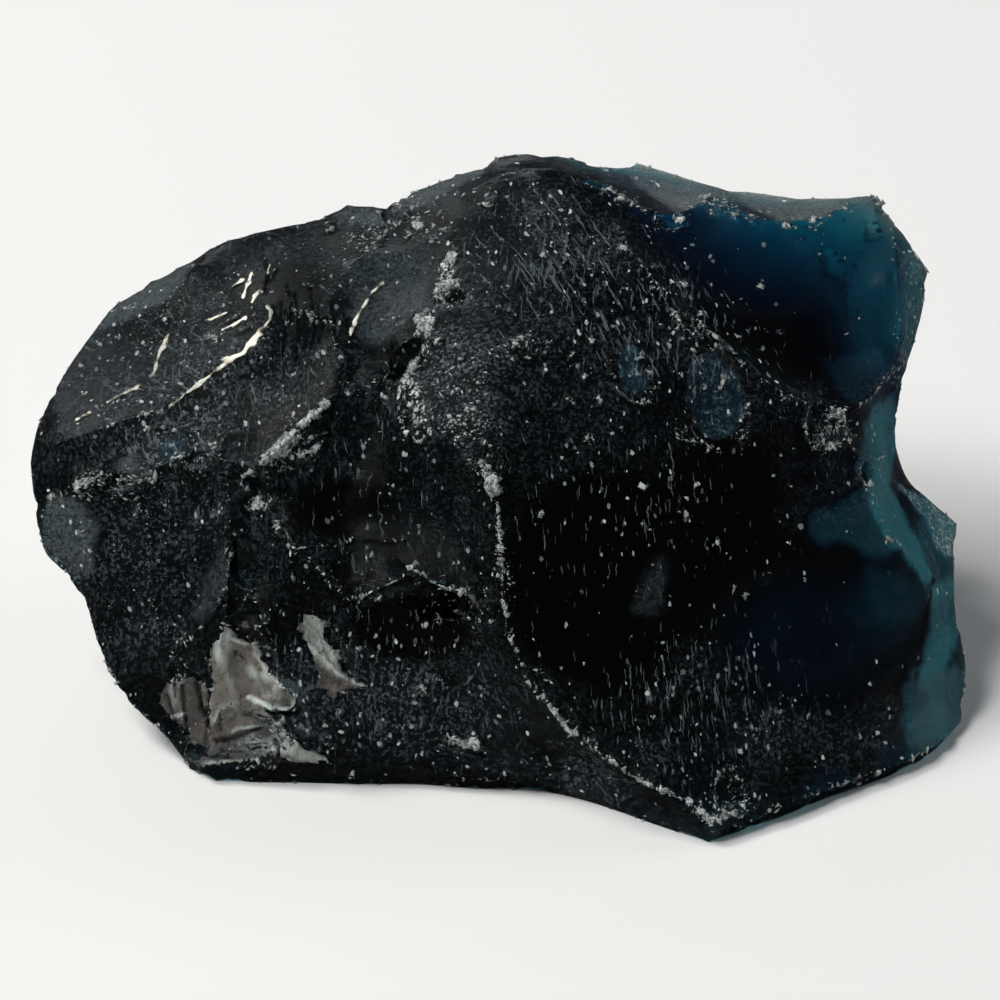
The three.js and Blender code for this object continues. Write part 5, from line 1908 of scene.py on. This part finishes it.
@dataclass
class CrushedCrumbs:
    """Crushed crumbs that cling to the ridges and lie in the crushed places.

    Attributes:
        count: How many there are.
        smallest: Half the size of the smallest, in millimetres.
        largest: Half the size of the largest.
        small_bias: How much rarer large ones are.
        size_shares: A crumb's share of its size on uncrushed glass, and what crushing adds.
        crush_limit: Crushing beyond this draws no more crumbs.
        crush_odds: How much crushing draws them.
        ridge_odds: How much a ridge draws them, and what its crumbly stretches add.
        crumbly: Where a ridge is crumbly.
        bare_odds: How much bare glass draws them.
        dust_odds: How much dust draws them.
        least_stretch: The least length, width and height of a crumb, as shares of its half size.
        more_stretch: What the longest, widest and highest add.
        jagged: How far a crumb's corners stray.
        sunk: How far a crumb is sunk into the skin, as a share of its half size.
        lowest: The lowest that a corner may lie, in millimetres.
        seed: Picks where they lie.
    """

    count: int = 12000
    smallest: float = 0.05
    largest: float = 0.3
    small_bias: int = 3
    size_shares: Pair = (0.6, 0.6)
    crush_limit: float = 1.3
    crush_odds: float = 2.2
    ridge_odds: Pair = (0.06, 0.5)
    crumbly: Clouds = Clouds(5.0, 81, 0.0, 0.6)
    bare_odds: float = 0.004
    dust_odds: float = 0.05
    least_stretch: Triple = (0.9, 0.7, 0.4)
    more_stretch: Triple = (1.1, 0.6, 0.5)
    jagged: float = 0.45
    sunk: float = 0.25
    lowest: float = 0.05
    seed: int = 5

    def odds(self, skin: Skin, masks: dict[Field, Array]) -> Array:
        """How likely a crumb is to lie at each vertex of the skin.

        Args:
            skin: The lump's skin.
            masks: The lump's masks.

        Returns:
            The odds of each vertex, which add up to 1.
        """
        area = np.linalg.norm(skin.face_normals(), axis=1)
        share = skin.gather(skin.faces.ravel(), np.repeat(area, 3)[:, None])[:, 0]
        crush = np.clip(masks[Field.CRUSH], 0.0, self.crush_limit)
        ridge, crumbly = self.ridge_odds
        by_ridge = masks[Field.EDGE] * (ridge + crumbly * self.crumbly.at(skin.points))
        dusty = np.clip(masks[Field.VEIL], 0.0, 1.0)
        drawn = crush**2 * self.crush_odds + by_ridge + self.bare_odds + self.dust_odds * dusty**2
        odds = share * drawn * (1.0 - np.clip(masks[Field.CRUST], 0.0, 1.0))
        return odds / odds.sum()

    def shapes(self, rng: np.random.Generator, size: Array) -> tuple[Array, Array]:
        """Every crumb's shape round its own middle: a bent eight-sided shard.

        Args:
            rng: Where the random draws come from.
            size: Each crumb's half size, in millimetres.

        Returns:
            The corners of each crumb, and one crumb's triangles.
        """
        corners = np.array([(1.0, 0, 0), (0, 1, 0), (-1, 0, 0), (0, -1, 0), (0.2, 0.1, 1), (0, 0, -1)])
        belt = [(i, (i + 1) % 4) for i in range(4)]
        faces = np.array([(a, b, 4) for a, b in belt] + [(b, a, 5) for a, b in belt])
        stretch = np.array(self.more_stretch) * rng.random((self.count, 3))
        stretch = np.array(self.least_stretch) + stretch
        rough = corners[None] + self.jagged * rng.normal(size=(self.count, len(corners), 3))
        return rough * (stretch * size[:, None])[:, None, :], faces

    def build(self, skin: Skin, masks: dict[Field, Array]) -> bpy.types.Object:
        """Makes the crumbs' object.

        Args:
            skin: The lump's skin.
            masks: The lump's masks.

        Returns:
            The object.
        """
        rng = np.random.default_rng(self.seed)
        picked = rng.choice(len(skin.points), self.count, p=self.odds(skin, masks))
        size = self.largest - self.smallest
        size = self.smallest + size * rng.random(self.count) ** self.small_bias
        least, crushed = self.size_shares
        size *= least + crushed * np.clip(masks[Field.CRUSH][picked], 0.0, 1.0)
        shaped, faces = self.shapes(rng, size)
        normal = skin.normals()[picked]
        spin = rng.normal(size=(self.count, 3))
        along = np.cross(normal, spin)
        along /= np.linalg.norm(along, axis=1, keepdims=True)
        frames = np.stack([along, np.cross(normal, along), normal], axis=1)
        points = np.einsum("nij,njk->nik", shaped, frames)
        points += (skin.points[picked] - normal * (self.sunk * size)[:, None])[:, None, :]
        corners = shaped.shape[1]
        numbers = faces[None] + corners * np.arange(self.count)[:, None, None]
        points = points.reshape(-1, 3)
        points[:, 2] = np.maximum(points[:, 2], self.lowest)
        crumbs = new_object("crushed_crumbs", points, numbers.reshape(-1, 3))
        keep_mask(crumbs.data, "tone", np.repeat(rng.random(self.count), corners))
        return crumbs


# ---- Studio ----------------------------------------------


@dataclass(frozen=True)
class SoftLight:
    """A soft light aimed at the lump.

    Attributes:
        name: The light's name.
        azimuth: Where it stands round the lump, in degrees: 0 is in front and -90 on the left.
        elevation: How high it stands, in degrees.
        distance: How far away it is, in metres.
        width: Its width, in metres.
        height: Its height, in metres.
        power: Its power, in watts.
        colour: Its colour.
        mirrored: Whether polished surfaces mirror it.
    """

    name: str
    azimuth: float
    elevation: float
    distance: float
    width: float
    height: float
    power: float
    colour: Triple = (1.0, 1.0, 1.0)
    mirrored: bool = True

    def build(self, target: Vector) -> None:
        """Adds the light to the scene, aimed at the target."""
        light = bpy.data.lights.new(self.name, "AREA")
        light.shape = "RECTANGLE"
        light.size, light.size_y = self.width, self.height
        light.energy, light.color = self.power, self.colour
        turn, tilt = math.radians(self.azimuth), math.radians(self.elevation)
        out = math.cos(tilt)
        away = Vector((math.sin(turn) * out, -math.cos(turn) * out, math.sin(tilt)))
        lamp = bpy.data.objects.new(self.name, light)
        lamp.location = target + away * self.distance
        lamp.rotation_euler = away.to_track_quat("Z", "Y").to_euler()
        lamp.visible_glossy = self.mirrored
        bpy.context.scene.collection.objects.link(lamp)


@dataclass
class Studio:
    """Floor, lights, surroundings and camera.

    Attributes:
        floor_half: Half the floor's width, in metres.
        lens: The camera's focal length, in millimetres.
        sensor: The width of its sensor, in millimetres.
        clip: The nearest and farthest that it sees, in metres.
        dim: Colour of the surroundings.
        dimness: Their strength.
        backdrop: Colour of the backdrop that the camera sees.
        lights: The soft lights.
    """

    floor_half: float = 6.0
    lens: float = 540.0
    sensor: float = 36.0
    clip: Pair = (0.05, 50.0)
    dim: Colour = (0.9, 0.95, 1.0, 1.0)
    dimness: float = 0.03
    backdrop: Colour = (0.95, 0.95, 0.95, 1.0)
    lights: tuple[SoftLight, ...] = (
        SoftLight("ceiling", -118.0, 52.0, 1.3, 1.6, 1.4, 0.55, (0.97, 0.99, 1.0)),
        SoftLight("glint", -106.0, 52.0, 1.3, 0.16, 0.16, 0.8, (1.0, 0.96, 0.86)),
        SoftLight("window", -100.0, 53.0, 1.3, 0.5, 0.5, 8.5, (1.0, 0.99, 0.96), False),
        SoftLight("front", -50.0, 57.0, 1.4, 0.5, 0.5, 9.0, (1.0, 1.0, 0.98), False),
        SoftLight("side", 112.0, 20.0, 1.4, 0.9, 0.5, 3.8, (0.96, 0.98, 1.0), False),
        SoftLight("back", -165.0, 30.0, 1.5, 1.2, 0.6, 2.0, (0.96, 0.98, 1.0)),
    )

    def build(self) -> None:
        """Makes the studio."""
        target = Vector(FRONT.middle) * MM
        half = self.floor_half / MM
        corners = half * np.array([(-1.0, -1, 0), (1, -1, 0), (1, 1, 0), (-1, 1, 0)])
        floor = new_object("floor", corners, np.array([(0, 1, 2), (0, 2, 3)]))
        floor.data.materials.append(PaleFloor().material())
        for light in self.lights:
            light.build(target)
        self.surround()
        self.place_camera(target)

    def surround(self) -> None:
        """Dim surroundings, which the glass would otherwise mirror, behind a pale backdrop."""
        world = bpy.data.worlds.new("surroundings")
        bpy.context.scene.world = world
        world.use_nodes = True
        graph = Graph(world.node_tree)
        path = graph.add("LightPath")
        dim = graph.add("Background", {"Color": self.dim, "Strength": self.dimness})
        pale = graph.add("Background", {"Color": self.backdrop, "Strength": 1.0})
        both = graph.add(
            "MixShader", {0: path.outputs["Is Camera Ray"], 1: dim.outputs[0], 2: pale.outputs[0]}
        )
        graph.add("OutputWorld", {"Surface": both.outputs[0]})

    def place_camera(self, target: Vector) -> None:
        """Puts the camera square on to the front.

        Args:
            target: The middle of the front.
        """
        camera = bpy.data.objects.new("camera", bpy.data.cameras.new("camera"))
        camera.data.lens, camera.data.sensor_width = self.lens, self.sensor
        camera.data.clip_start, camera.data.clip_end = self.clip
        out = Vector(FRONT.axes()[2])
        camera.location = target + out * FRONT.sight * MM
        camera.rotation_euler = out.to_track_quat("Z", "Y").to_euler()
        bpy.context.scene.collection.objects.link(camera)
        bpy.context.scene.camera = camera
        bpy.context.scene.view_settings.view_transform = "Standard"


def main() -> None:
    """Builds the lump, its crumbs and the studio."""
    logging.basicConfig(level=logging.INFO, format="%(name)s: %(message)s")
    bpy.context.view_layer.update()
    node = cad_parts["glass_chunk"]
    effects = Effects(grit_group(), knock_group(), scratch_group())

    dressing = GlassLump()
    lump, skin = dressing.build(node)
    lump.data.materials.append(SlagGlass().material(effects))
    crumbs = CrushedCrumbs().build(skin, dressing.masks)
    crumbs.data.materials.append(CrushedGlass().material(effects))
    for piece in (lump, crumbs):
        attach(piece, "root")
        LOG.info("%s: %d triangles", piece.name, len(piece.data.polygons))
    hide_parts("glass_chunk")

    Studio().build()


if __name__ == "__main__":
    main()
